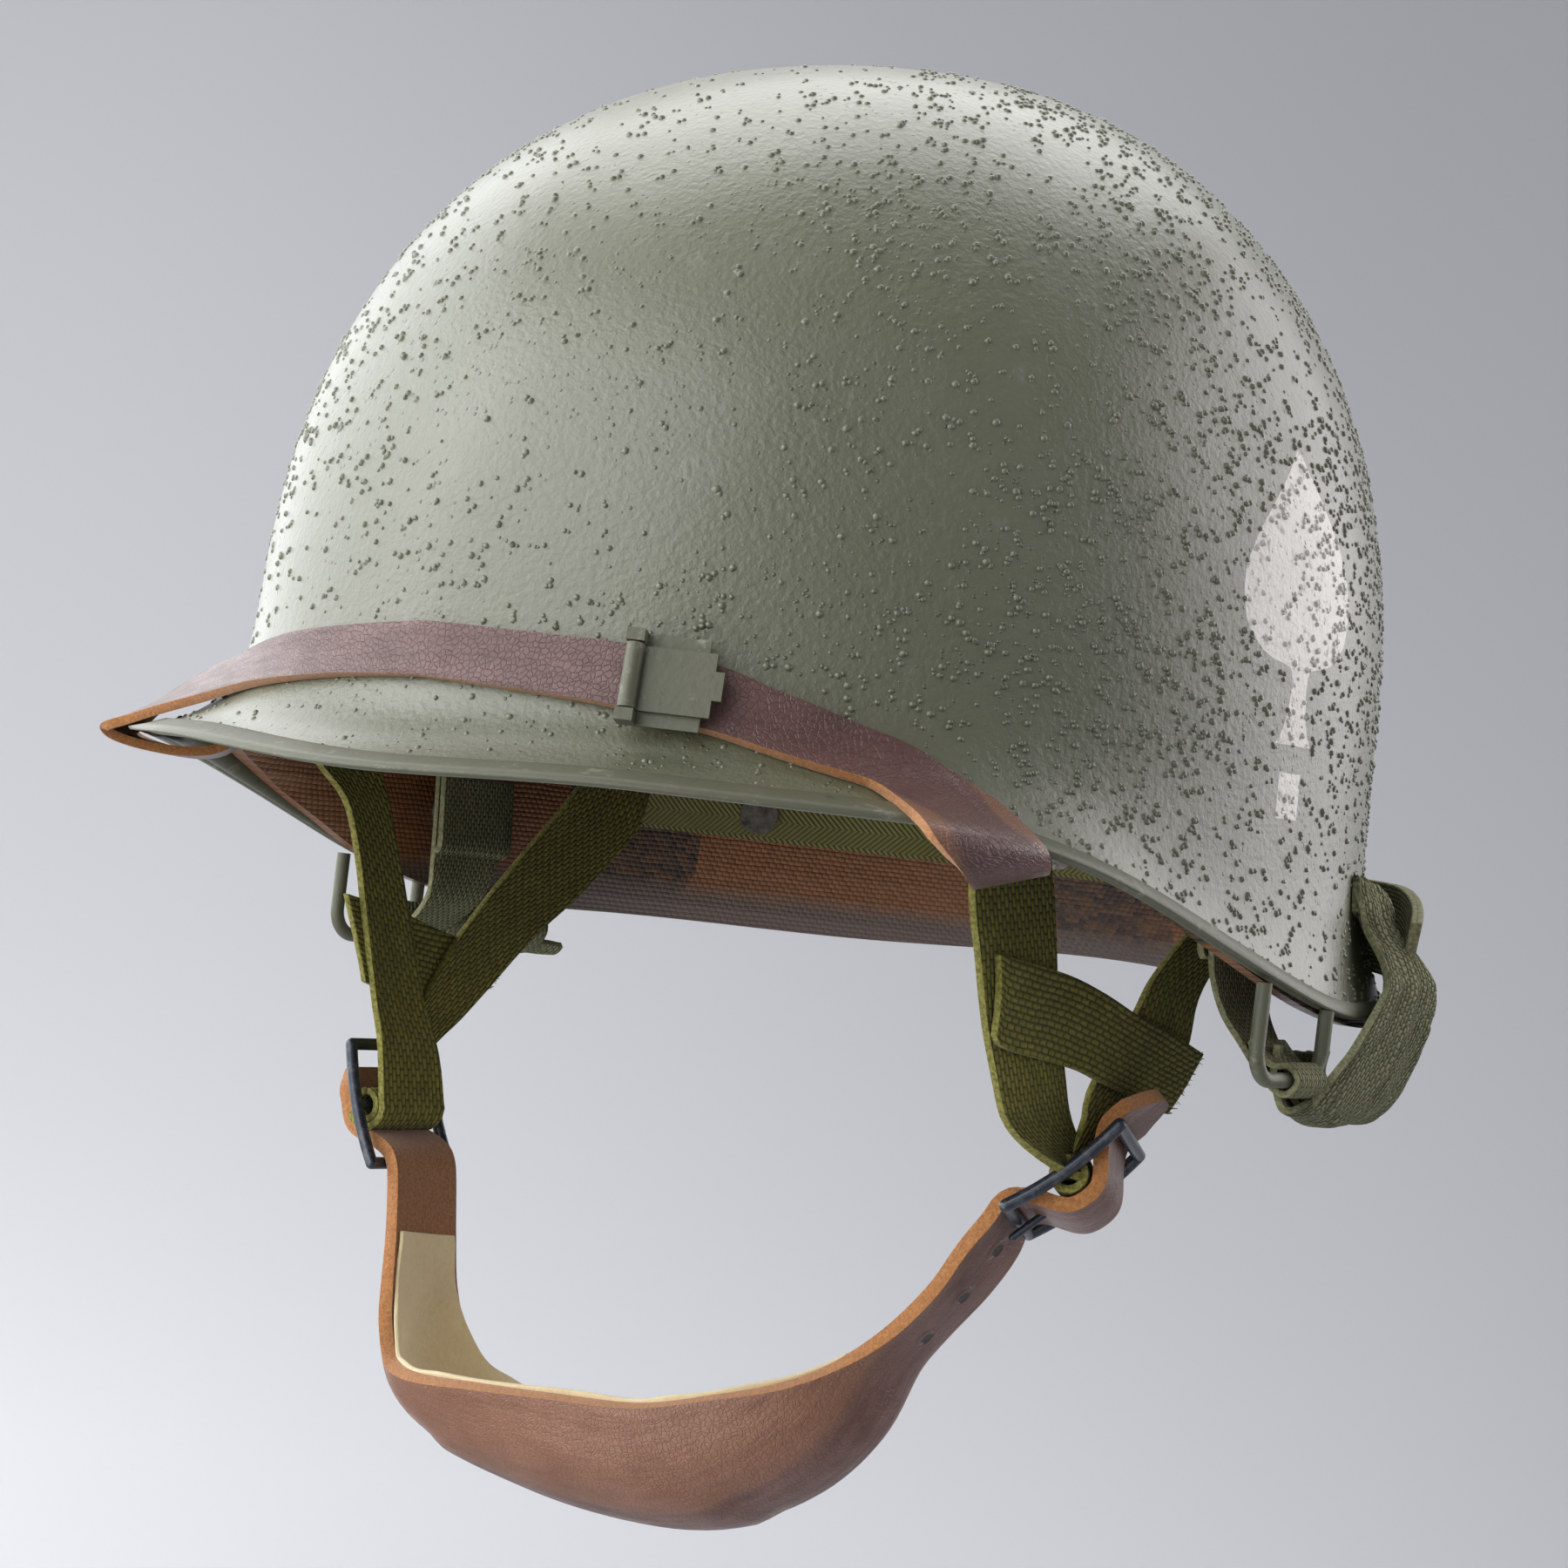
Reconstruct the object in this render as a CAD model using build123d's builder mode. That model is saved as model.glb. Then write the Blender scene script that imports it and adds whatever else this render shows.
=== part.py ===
"""Steel pot helmet with its liner, inverted-A chin harness, chin cup and rolled shell straps.

Frame: the origin is where the wearer's head enters, -Y is the front, +X the wearer's left, +Z up.
Lengths are in millimetres and angles in degrees. A bearing is 0 at the front and 90 at the left ear.
"""
import math
import os

from build123d import *

os.makedirs("parts", exist_ok=True)

# Steel pot: half lengths at the foot of the dome, its height, and where it starts to close in
dome_front = 122.5
dome_rear = 123.5
dome_half_width = 111.0
dome_height = 180.0
shoulder_height = 53.0
front_roundness = 2.02
rear_roundness = 2.06
side_roundness = 2.38
steel = 1.0

# Brim: how far it flares out at the front, side and rear, and how fast the flare dies away upwards
visor_flare = 20.5
side_flare = 6.5
rear_flare = 11.0
visor_flare_rise = 6.6
rear_flare_rise = 11.2
visor_full_bearing = 41
visor_end_bearing = 82
rear_start_bearing = 95
rear_full_bearing = 135

# Height of the rim line round the pot
visor_rim_height = 28.0
peak_dip = 2.0
peak_bearing = 25
temple_start_bearing = 45
temple_end_bearing = 105
nape_rim_height = 4.7
nape_start_bearing = 140

# Shares of the dome height at which its sections lie, and the bearings between their points
section_shares = (-0.045, -0.02, 0.01, 0.04, 0.07, 0.1, 0.125, 0.15, 0.175, 0.205, 0.24, 0.29,
                  0.37, 0.48, 0.6, 0.71, 0.81, 0.89, 0.95, 0.985)
section_step = 15
visor_plan_bearing = 75
skirt_share = 0.37
overrun = 4.0
cut_reach = 220.0
running_gap = 0.3

# Rim edging: a folded steel channel
edging_thickness = 0.8
edging_depth = 4.0
edging_fit = 0.05

# Liner: a resin-stiffened shell that nests inside the pot
liner_gap = 1.2
liner_wall = 2.6
liner_visor_recess = 3.0
liner_side_drop = 2.2

# Webbing and bands inside the liner
band_bottom = 44.0
band_top = 80.0
band_inset = 7.0
band_lean = 4.0
band_thickness = 1.0
nape_bottom = 19.0
nape_top = 31.0
nape_half_width = 96.0
cradle_half_width = 100.0
cradle_half_length = 112.0
cradle_foot = 60.0
cradle_top = 152.0
cradle_strap_width = 36.0
headband_bottom = 42.0
headband_top = 66.0
headband_inset = 17.0
headband_thickness = 1.8
rivet_radius = 2.0
washer_radius = 4.5
washer_thickness = 0.8
washer_fit = 0.15
clip_width = 10.0
clip_thickness = 1.0
clip_drop = 8.0
clip_fit = 0.3

# Bales: fixed wire loops welded under the pot's rim
bale_wire = 3.0
bale_bearing = 96
bale_front = -12.0
bale_rear = 14.0
bale_bottom = -12.5
bale_corner = 6.0

# Chin harness: one inverted A of webbing each side, turning on rings riveted to the liner
hinge_height = 31.0
left_hang = 86.0
right_hang = 82.0
ring_wire = 2.2
ring_width = 30.0
ring_seat_height = 39.0
yoke_web = 1.6
sleeve_length = 20.0
hinge_fit = 0.4
loop_fit = 0.9

# Outlines of the webbing legs in the plane of each yoke: across it as shares of its reach, and down
# from its hinge as shares of its drop to the buckle's centre bar
yoke_reach = 67.0
left_front_leg_shares = ((-1, 0), (-0.701, 0), (-0.604, 0.176), (-0.515, 0.412), (-0.425, 0.684),
                         (-0.381, 0.868), (-0.209, 0.956), (-0.179, 1), (-0.388, 1), (-0.433, 0.926),
                         (-0.567, 0.912), (-0.701, 0.838), (-0.761, 0.713), (-0.903, 0.412), (-1, 0.184))
left_rear_leg_shares = ((0.463, 0), (0.761, 0), (0.403, 0.309), (0.261, 0.456), (0.209, 0.61),
                        (0.06, 0.765), (-0.175, 0.855), (-0.19, 1), (-0.299, 1), (-0.313, 0.853),
                        (-0.291, 0.721), (-0.104, 0.522), (0.157, 0.272))
left_crossbar_shares = ((-0.836, 0.375), (-0.522, 0.412), (-0.328, 0.456), (-0.112, 0.522), (0.299, 0.618),
                        (0.261, 0.64), (0.179, 0.721), (0.09, 0.794), (-0.299, 0.706), (-0.425, 0.669),
                        (-0.769, 0.625), (-0.843, 0.588))
right_front_leg_shares = ((-0.97, 0), (-0.672, 0), (-0.634, 0.071), (-0.5, 0.318), (-0.41, 0.487),
                          (-0.313, 0.695), (-0.216, 0.896), (-0.216, 1), (-0.5, 1), (-0.507, 0.896),
                          (-0.537, 0.76), (-0.597, 0.558), (-0.746, 0.208))
right_rear_leg_shares = ((0.463, 0), (0.791, 0), (0.657, 0.227), (0.425, 0.39), (0.224, 0.519),
                         (0.067, 0.597), (-0.075, 0.753), (-0.216, 0.844), (-0.216, 1), (-0.388, 1),
                         (-0.299, 0.714), (-0.134, 0.513), (0.097, 0.299))
right_crossbar_shares = ((-0.701, 0.422), (-0.433, 0.461), (-0.157, 0.513), (0.134, 0.552), (0.045, 0.675),
                         (-0.313, 0.708), (-0.575, 0.662))
front_hinge_y = -57.0
rear_hinge_y = 41.0

# Chin buckles: bent wire frames with a centre bar and a tongue
frame_wire = 2.6
frame_width = 24.6
frame_length = 26.0
frame_bow = 1.2
tongue_wire = 1.6
tongue_fit = 0.15
tongue_width = 4.0
tongue_slot = 5.0
tongue_lift = 12
left_bar_direction = (-0.321, 0.901, -0.292)
left_frame_facing = (0.729, 0.040, -0.679)
left_loop_y = -19.0
left_loop_height = -37.0
right_loop_y = -24.0
right_loop_height = -46.0
right_lean = 22.0

# Chin strap leather and its moulded cup
leather = 2.2
leather_width = 19.0
leather_hole = 1.5
leather_least_sag = 0.2
chamois = 0.9
chamois_gap = 0.15
chamois_margin = 1.5
cup_half_span = 72.5
cup_setback = -27.0
cup_drop = -100.5
cup_width = 47.0
cup_depth = 17.5
cup_tilt = 14
# Route of the strap between its buckles, from the wearer's right: x, y, z, width and moulded depth
# as shares of the five sizes above; where the cup is deepest it tips back by its full tilt
cup_route_shares = ((-0.972, 0.889, 0.716, 0.415, 0.023), (-0.938, 0.926, 0.828, 0.457, 0.086),
                    (-0.883, 0.963, 0.913, 0.553, 0.257), (-0.8, 0.981, 0.979, 0.681, 0.486),
                    (-0.662, 1, 1, 0.809, 0.657), (-0.441, 1, 0.998, 0.915, 0.829),
                    (-0.152, 1, 0.989, 0.979, 0.971), (0.166, 1, 0.967, 1, 1),
                    (0.4, 1, 0.907, 0.894, 0.914), (0.579, 1, 0.841, 0.723, 0.629),
                    (0.724, 1, 0.756, 0.532, 0.2), (0.821, 0.981, 0.687, 0.426, 0.046),
                    (0.924, 0.963, 0.597, 0.404, 0.017), (1, 0.944, 0.512, 0.404, 0.017))
chamois_first = 0
chamois_last = 10
# How the leather threads a buckle, as (along the frame, outward), and how far its free ends reach
thread_shares = ((-1.3, -0.7), (-1.0, -0.77), (-0.81, -0.6), (-0.6, -0.1), (-0.35, 0.7), (-0.15, 1.0), (0.15, 1.0))
left_tail_shares = ((0.35, 0.7), (0.6, -0.1), (0.81, -0.6), (1.0, -0.77), (1.35, -0.82), (1.75, -0.82))
right_tail_shares = ((0.4, 0.95), (0.7, 0.88))
thread_gap = 0.5
tail_tip_width = 14.0

# Liner strap over the visor: side-view edges of the strap, as shares of the dome's front half length and
# of the shoulder height, and where it turns in
liner_strap_gap = 1.0
liner_strap_leather = 1.9
strap_upper_edge_shares = ((-1.306, 1.009), (-0.931, 0.991), (-0.853, 0.906), (-0.767, 0.811),
                           (-0.665, 0.689), (-0.588, 0.491))
strap_lower_edge_shares = ((-0.755, 0.491), (-0.804, 0.642), (-0.873, 0.698), (-0.963, 0.774),
                           (-1.306, 0.821))
strap_turn_front = -92.0
strap_turn_rear = -73.0
strap_end_height = 50.0
strap_stud_height = 44.0
strap_stud_bearing = 46.0

# Buckle of the liner strap: a sheet plate and a gate that turns on a pin
buckle_bearing = 25.0
buckle_height = 46.5
buckle_seat = 1.4
buckle_length = 14.5
buckle_width = 16.6
buckle_window = 8.0
buckle_sheet = 0.7
buckle_pin = 0.7
buckle_pin_fit = 0.05
buckle_gate_fit = 0.25
buckle_ear = 2.2
buckle_lip = 5.2

# Shell chinstraps: webbing looped on the bales, wrapped round the brim and run round the back
strap_web = 1.5
strap_gap = 0.3
bale_fit = 0.4
wrap_first = 98.5
wrap_last = 115.0
wrap_step = 5.5
wrap_reach = 8.7
wrap_height = 29.5
wrap_wall_share = 0.6
# Section of the wrapped webbing beside the rim: outward and up, as shares of its reach and height.
# Outward counts from the rim, and from the wall at its own height above wrap_wall_share
wrap_section_shares = ((0.07, 0.915), (0.4, 0.644), (0.517, 0.339), (0.632, 0.102), (0.402, -0.203),
                       (0, -0.475), (-0.46, -0.576), (-0.805, -0.475), (-0.92, -0.271), (-0.977, -0.153),
                       (-1.322, -0.153), (-1.264, -0.288), (-1.092, -0.576), (-0.46, -0.729),
                       (0.287, -0.576), (0.759, -0.254), (1, 0.102), (0.862, 0.39), (0.7, 0.729),
                       (0.33, 1))
strap_link_width = 9.0
strap_link_height = -15.2
strap_link_rear = 21.0
bale_sleeve_front = -4.0
bale_sleeve_rear = 7.0
back_strap_bottom = 8.0
back_strap_top = 27.0
back_strap_end = 178.0
# Snap tab inside the liner: sideways from its upright run, and up, as shares of its spread and height
tab_run = 99.5
tab_spread = 16.0
tab_height = 25.0
tab_route_shares = ((1, -0.5), (0.531, -0.36), (0.094, -0.12), (0, 0.32), (0.062, 1))
tab_thickness = 2.4
tab_front = -4.0
tab_rear = 20.0
snap_height = 18.0
snap_radius = 6.5
snap_thickness = 1.6
snap_post = 2.5

# Hook and buckle that join the shell chinstraps behind the pot
catch_height = 17.5
catch_rise = 4.0
catch_wire = 2.0
catch_width = 14.0
catch_length = 21.0
catch_fit = 0.2
hook_sheet = 1.2
hook_width = 12.0


def ease(value, start, end):
    """0 up to start, 1 from end, and a smooth rise between them."""
    share = min(max((value - start) / (end - start), 0), 1)
    return share * share * (3 - 2 * share)


def fold_bearing(bearing):
    """The same bearing on the wearer's left half, between 0 and 180."""
    return abs((bearing + 180) % 360 - 180)


def rim_height(bearing):
    """Height of the pot's rim at a bearing."""
    angle = fold_bearing(bearing)
    return (visor_rim_height * (1 - ease(angle, temple_start_bearing, temple_end_bearing))
            - peak_dip * (1 - ease(angle, 0, peak_bearing))
            + nape_rim_height * ease(angle, nape_start_bearing, 180))


def liner_rim_height(bearing):
    """Height of the liner's lower edge: behind the visor it is recessed, at the sides it shows."""
    side = ease(fold_bearing(bearing), temple_start_bearing, temple_end_bearing)
    return rim_height(bearing) + liner_visor_recess * (1 - side) - liner_side_drop * side


def dome_reach(height, half, roundness, grow):
    """How far the dome reaches from its middle, at a height, with its face moved out by grow."""
    rise = max(height - shoulder_height, 0) / (dome_height + grow - shoulder_height)
    return (half + grow) * (1 - min(rise, 1) ** roundness) ** (1 / roundness)


def wall_point(height, bearing, grow, flared=True):
    """A point of the pot's outer face, moved out by grow, as (x, y)."""
    angle = fold_bearing(bearing)
    turn = math.radians(bearing)
    front = math.cos(turn) > 0
    half = dome_front if front else dome_rear
    roundness = front_roundness if front else rear_roundness
    reach_y = dome_reach(height, half, roundness, grow)
    reach_x = dome_reach(height, dome_half_width, side_roundness, grow)
    flare = 0
    if flared:
        visor = 1 - ease(angle, visor_full_bearing, visor_end_bearing)
        rear = ease(angle, rear_start_bearing, rear_full_bearing)
        size = side_flare + visor * (visor_flare - side_flare) + rear * (rear_flare - side_flare)
        fade = rear_flare_rise + visor * (visor_flare_rise - rear_flare_rise)
        above = height - rim_height(bearing)
        flare = size * math.exp(-above / fade) if above > 0 else size * (1 - max(above, -fade) / fade)
        slope = size / fade * math.exp(-max(above, 0) / fade)
        flare += grow * (math.hypot(1, slope) - 1)
    across = math.sin(turn) / dome_half_width
    along = -math.cos(turn) / half
    size_of_normal = math.hypot(across, along)
    return (reach_x * math.sin(turn) + flare * across / size_of_normal,
            -reach_y * math.cos(turn) + flare * along / size_of_normal)


def bowl(grow, low=0, skirt=False):
    """The solid inside the pot's outer face moved out by grow; low starts it further down.

    A skirt stops above the brim, with a flat top.
    """
    height = dome_height + grow
    with BuildPart() as solid:
        for share in [share for share in section_shares if share <= skirt_share or not skirt]:
            level = share * height - (low if share == section_shares[0] else 0)
            with BuildSketch(Plane.XY.offset(level)):
                with BuildLine():
                    points = [wall_point(level, bearing, grow) for bearing in range(0, 360, section_step)]
                    steps = [index / len(points) for index in range(len(points) + 1)]
                    add(Edge.make_spline(points, periodic=True, parameters=steps))
                make_face()
        crown = [] if skirt else [Vertex(0, 0, height)]
        loft(sections=[*solid.pending_faces, *crown], ruled=True)
    return solid.part


def below_rim(line, lift):
    """The space under a rim line moved up by lift, wider than the pot."""
    side_view = [(wall_point(line(bearing), bearing, 0)[1], line(bearing) + lift)
                 for bearing in range(0, 181, section_step)]
    first, last = side_view[0], side_view[-1]
    with BuildPart() as block:
        with BuildSketch(Plane.YZ):
            with BuildLine():
                Spline(*side_view)
                Polyline(last, (cut_reach, last[1]), (cut_reach, -cut_reach), (-cut_reach, -cut_reach),
                         (-cut_reach, first[1]), first)
            make_face()
        extrude(amount=cut_reach, both=True)
    return block.part


def visor_plan(grow):
    """The space inside the visor's plan outline moved out by grow; behind the temples it is open."""
    bearings = range(-visor_plan_bearing, visor_plan_bearing + 1, section_step)
    outline = [wall_point(rim_height(bearing), bearing, grow) for bearing in bearings]
    with BuildPart() as block:
        with BuildSketch(Plane.XY):
            with BuildLine():
                Spline(*outline)
                Polyline(outline[-1], (cut_reach, outline[-1][1]), (cut_reach, cut_reach), (-cut_reach, cut_reach),
                         (-cut_reach, outline[0][1]), outline[0])
            make_face()
        extrude(amount=cut_reach, both=True)
    return block.part


def plan_ring(bottom, top, half_width, half_front, half_rear, thickness, lean=0):
    """An upright oval band; lean draws its top edge in."""
    with BuildPart() as band:
        for inset in (0, thickness):
            sizes = [(half_width - inset, half_front - inset, half_rear - inset),
                     (half_width - inset - lean, half_front - inset - lean, half_rear - inset - lean)]
            for level, (wide, ahead, behind) in zip((bottom, top), sizes):
                with BuildSketch(Plane.XY.offset(level)):
                    with BuildLine():
                        EllipticalCenterArc((0, 0), wide, behind, start_angle=0, arc_size=180)
                        EllipticalCenterArc((0, 0), wide, ahead, start_angle=180, arc_size=180)
                    make_face()
            loft(ruled=True, mode=Mode.SUBTRACT if inset else Mode.ADD)
    return band.part


def finish(builder, name):
    """Name a finished piece and write it out."""
    builder.part.label = name
    export_step(builder.part, f"parts/{name}.step")


with BuildPart() as steel_shell:
    add(bowl(0))
    add(bowl(-steel, overrun), mode=Mode.SUBTRACT)
    add(below_rim(rim_height, 0), mode=Mode.SUBTRACT)
    add(visor_plan(edging_fit / 2), mode=Mode.INTERSECT)
finish(steel_shell, "steel_shell")

with BuildPart() as rim_groove:
    add(bowl(edging_fit, 0, True))
    add(bowl(-steel - edging_fit, overrun, True), mode=Mode.SUBTRACT)
    add(below_rim(rim_height, -edging_fit), mode=Mode.SUBTRACT)
    add(visor_plan(2 * edging_fit), mode=Mode.INTERSECT)

with BuildPart() as rim_edging:
    add(bowl(edging_thickness, 0, True))
    add(bowl(-steel - edging_thickness, overrun, True), mode=Mode.SUBTRACT)
    add(below_rim(rim_height, edging_depth), mode=Mode.INTERSECT)
    add(below_rim(rim_height, -edging_thickness), mode=Mode.SUBTRACT)
    add(visor_plan(edging_thickness + edging_fit), mode=Mode.INTERSECT)
    add(rim_groove.part, mode=Mode.SUBTRACT)
finish(rim_edging, "rim_edging")

# Bands, cradle and headband
dome_halves = (dome_half_width, dome_front, dome_rear)
suspension_band = plan_ring(band_bottom, band_top, *[half - band_inset for half in dome_halves],
                            band_thickness, band_lean)
nape_ring = plan_ring(nape_bottom, nape_top, *[half - band_inset for half in dome_halves], band_thickness)
headband_ring = plan_ring(headband_bottom, headband_top, *[half - headband_inset for half in dome_halves],
                          headband_thickness)


def seat_plane(height, bearing, inset, flared=False):
    """The upright plane facing outward at a bearing of the pot's wall drawn in by inset."""
    turn = math.radians(bearing)
    half = dome_front if math.cos(turn) > 0 else dome_rear
    outward = (math.sin(turn) / dome_half_width, -math.cos(turn) / half, 0)
    seat = wall_point(height, bearing, -inset, flared)
    return Plane(origin=(*seat, height), x_dir=(outward[1], -outward[0], 0), z_dir=outward)


def band_face_inset(height):
    """Inset of the suspension band's inner face at a height."""
    return band_inset + band_thickness + band_lean * (height - band_bottom) / (band_top - band_bottom)


def rivet(height, bearing, inset, flared=False):
    """A riveted washer: its shank runs out through the liner's wall."""
    seat = seat_plane(height, bearing, inset, flared)
    with BuildPart() as piece:
        with BuildSketch(seat.offset(-washer_thickness)):
            Circle(washer_radius)
        extrude(amount=washer_thickness)
        with BuildSketch(seat.offset(-washer_thickness)):
            Circle(rivet_radius)
        extrude(amount=washer_thickness + inset - steel - liner_gap)
    return piece.part


band_rivet_height = band_bottom + (band_top - band_bottom) / 4
with BuildPart() as liner_rivets:
    for bearing in range(30, 360, 60):
        add(rivet(band_rivet_height, bearing, band_face_inset(band_rivet_height) + washer_fit))
    for bearing in (145, 185, 225):
        add(rivet((nape_bottom + nape_top) / 2, bearing, band_inset + band_thickness + washer_fit))
finish(liner_rivets, "liner_rivets")

with BuildPart() as hbt_band:
    add(suspension_band)
    add(liner_rivets.part, mode=Mode.SUBTRACT)
finish(hbt_band, "suspension_band")

with BuildPart() as nape_strap:
    add(nape_ring)
    with Locations((0, cut_reach / 2 + nape_half_width / 2, nape_bottom)):
        Box(cut_reach, cut_reach, cut_reach, mode=Mode.INTERSECT)
    add(liner_rivets.part, mode=Mode.SUBTRACT)
finish(nape_strap, "nape_strap")


def cradle_dome(inset):
    """Half an egg above the cradle's foot."""
    with BuildPart() as egg:
        Sphere(1)
        scale(by=(cradle_half_width - inset, cradle_half_length - inset, cradle_top - cradle_foot - inset))
    return egg.part.moved(Location((0, 0, cradle_foot)))


with BuildPart() as crown_bars:
    with Locations((0, 0, cradle_foot + cut_reach / 2 + (band_top - cradle_foot) / 2)):
        for turn in (30, 90, 150):
            Box(cut_reach * 2, cradle_strap_width, cut_reach, rotation=(0, 0, turn))

with BuildPart() as crown_straps:
    add(cradle_dome(0))
    add(cradle_dome(band_thickness), mode=Mode.SUBTRACT)
    add(crown_bars.part, mode=Mode.INTERSECT)
finish(crown_straps, "crown_straps")

with BuildPart() as headband:
    add(headband_ring)
finish(headband, "headband")

with BuildPart() as headband_clips:
    for bearing in range(0, 360, 60):
        inner = headband_inset + headband_thickness + clip_fit
        seat = seat_plane(headband_top, bearing, inner)
        reach = inner - band_face_inset(headband_top)
        with BuildSketch(Plane(origin=seat.origin, x_dir=seat.z_dir, z_dir=seat.x_dir)):
            Polygon((reach, 0), (reach, clip_thickness), (-clip_thickness, clip_thickness),
                    (-clip_thickness, -clip_drop), (0, -clip_drop), (0, 0), align=None)
        extrude(amount=clip_width / 2, both=True)
finish(headband_clips, "headband_clips")


def rod(start, end, radius):
    """A round bar between two points, with a ball at each end."""
    along = Vector(*end) - Vector(*start)
    with BuildPart() as bar:
        with BuildSketch(Plane(origin=start, z_dir=along)):
            Circle(radius)
        extrude(amount=along.length)
        with Locations(start, end):
            Sphere(radius)
    return bar.part


def bearing_at(y, inset):
    """Bearing on the wearer's left where the drawn-in oval passes a fore-and-aft place."""
    half = dome_front if y < 0 else dome_rear
    return math.degrees(math.acos(-y / (half - inset)))


def anchor(hang, y):
    """A washer riveted to the liner with the wire ring that a leg of webbing turns on."""
    side = math.copysign(1, hang)
    seat = seat_plane(ring_seat_height, side * bearing_at(y, liner_inset), liner_inset, True)
    lower = [(hang, y - ring_width / 2, hinge_height), (hang, y + ring_width / 2, hinge_height)]
    depth = washer_thickness + ring_wire / 4
    upper = [seat.origin - seat.z_dir * depth + Vector(0, offset, 0) for offset in (-washer_radius, washer_radius)]
    radius = ring_wire / 2
    with BuildPart() as piece:
        add(rivet(ring_seat_height, side * bearing_at(y, liner_inset), liner_inset, True))
        add(rod(lower[0], lower[1], radius))
        for low, high in zip(lower, upper):
            add(rod(low, tuple(high), radius))
        add(rod(tuple(upper[0]), tuple(upper[1]), radius))
    return piece.part


liner_inset = steel + liner_gap + liner_wall
with BuildPart() as yoke_rings:
    for hang in (left_hang, -right_hang):
        for y in (front_hinge_y, rear_hinge_y):
            add(anchor(hang, y))
finish(yoke_rings, "yoke_rings")

strap_inset = liner_inset + strap_gap + liner_strap_leather
with BuildPart() as strap_studs:
    for side in (1, -1):
        add(rivet(strap_stud_height, side * strap_stud_bearing, strap_inset, True))
finish(strap_studs, "liner_strap_studs")

tab_middle = (tab_front + tab_rear) / 2
tab_line = [(tab_run + tab_spread * across, tab_height * up) for across, up in tab_route_shares]
tab_face = tab_line[-1][0] - tab_thickness / 2 - strap_gap
with BuildPart() as strap_snaps:
    for side in (1, -1):
        with BuildSketch(Plane.YZ.offset(side * tab_face)):
            with Locations((tab_middle, snap_height)):
                Circle(snap_radius)
        extrude(amount=-side * snap_thickness)
        with BuildSketch(Plane.YZ.offset(side * tab_face)):
            with Locations((tab_middle, snap_height)):
                Circle(snap_post)
        extrude(amount=side * (dome_half_width - steel - liner_gap - tab_face))
finish(strap_snaps, "strap_snaps")

with BuildPart() as liner_shell:
    add(bowl(-steel - liner_gap))
    add(bowl(-liner_inset, overrun), mode=Mode.SUBTRACT)
    add(below_rim(liner_rim_height, 0), mode=Mode.SUBTRACT)
    add(liner_rivets.part, mode=Mode.SUBTRACT)
    add(yoke_rings.part, mode=Mode.SUBTRACT)
    add(strap_studs.part, mode=Mode.SUBTRACT)
    add(strap_snaps.part, mode=Mode.SUBTRACT)
finish(liner_shell, "liner_shell")

# Liner strap: over the visor, round the rim and up inside the liner to its studs
strap_under = edging_thickness + strap_gap
strap_outside = liner_strap_gap + liner_strap_leather
turn_outline = ((strap_turn_rear, 0), (strap_turn_rear, strap_end_height),
                (strap_turn_front, strap_end_height), (strap_turn_front, 0))
visor_outline = [(dome_front * along, shoulder_height * up)
                 for along, up in strap_upper_edge_shares + strap_lower_edge_shares]
visor_outline.insert(len(strap_upper_edge_shares), (strap_turn_front, 0))
visor_outline.insert(len(strap_upper_edge_shares), (strap_turn_rear, 0))


def wall_layer(outer, inner, outline):
    """The layer between two offsets of the pot's face, inside a side-view outline."""
    with BuildPart() as layer:
        add(bowl(outer, 0, True))
        with BuildSketch(Plane.YZ):
            Polygon(*outline, align=None)
        extrude(amount=cut_reach, both=True, mode=Mode.INTERSECT)
        add(bowl(inner, overrun, True), mode=Mode.SUBTRACT)
    return layer.part


with BuildPart() as strap_turn:
    add(wall_layer(strap_outside, -strap_inset, turn_outline))
    add(below_rim(rim_height, -strap_under), mode=Mode.INTERSECT)

with BuildPart() as liner_strap:
    add(strap_turn.part)
    add(wall_layer(-liner_inset - strap_gap, -strap_inset, turn_outline))
    add(wall_layer(strap_outside, liner_strap_gap, visor_outline))
    add(below_rim(rim_height, -strap_under - liner_strap_leather), mode=Mode.SUBTRACT)
    add(strap_studs.part, mode=Mode.SUBTRACT)
finish(liner_strap, "liner_strap")


def tangent_plane(height, bearing, grow, span):
    """The plane that lies on the flared wall at a place: x along the wall, y up it, z outward."""
    low = Vector(*wall_point(height - span, bearing, grow), height - span)
    high = Vector(*wall_point(height + span, bearing, grow), height + span)
    back = Vector(*wall_point(height, bearing - span, grow), height)
    ahead = Vector(*wall_point(height, bearing + span, grow), height)
    return Plane(origin=(*wall_point(height, bearing, grow), height), x_dir=ahead - back,
                 z_dir=(ahead - back).cross(high - low))


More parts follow.
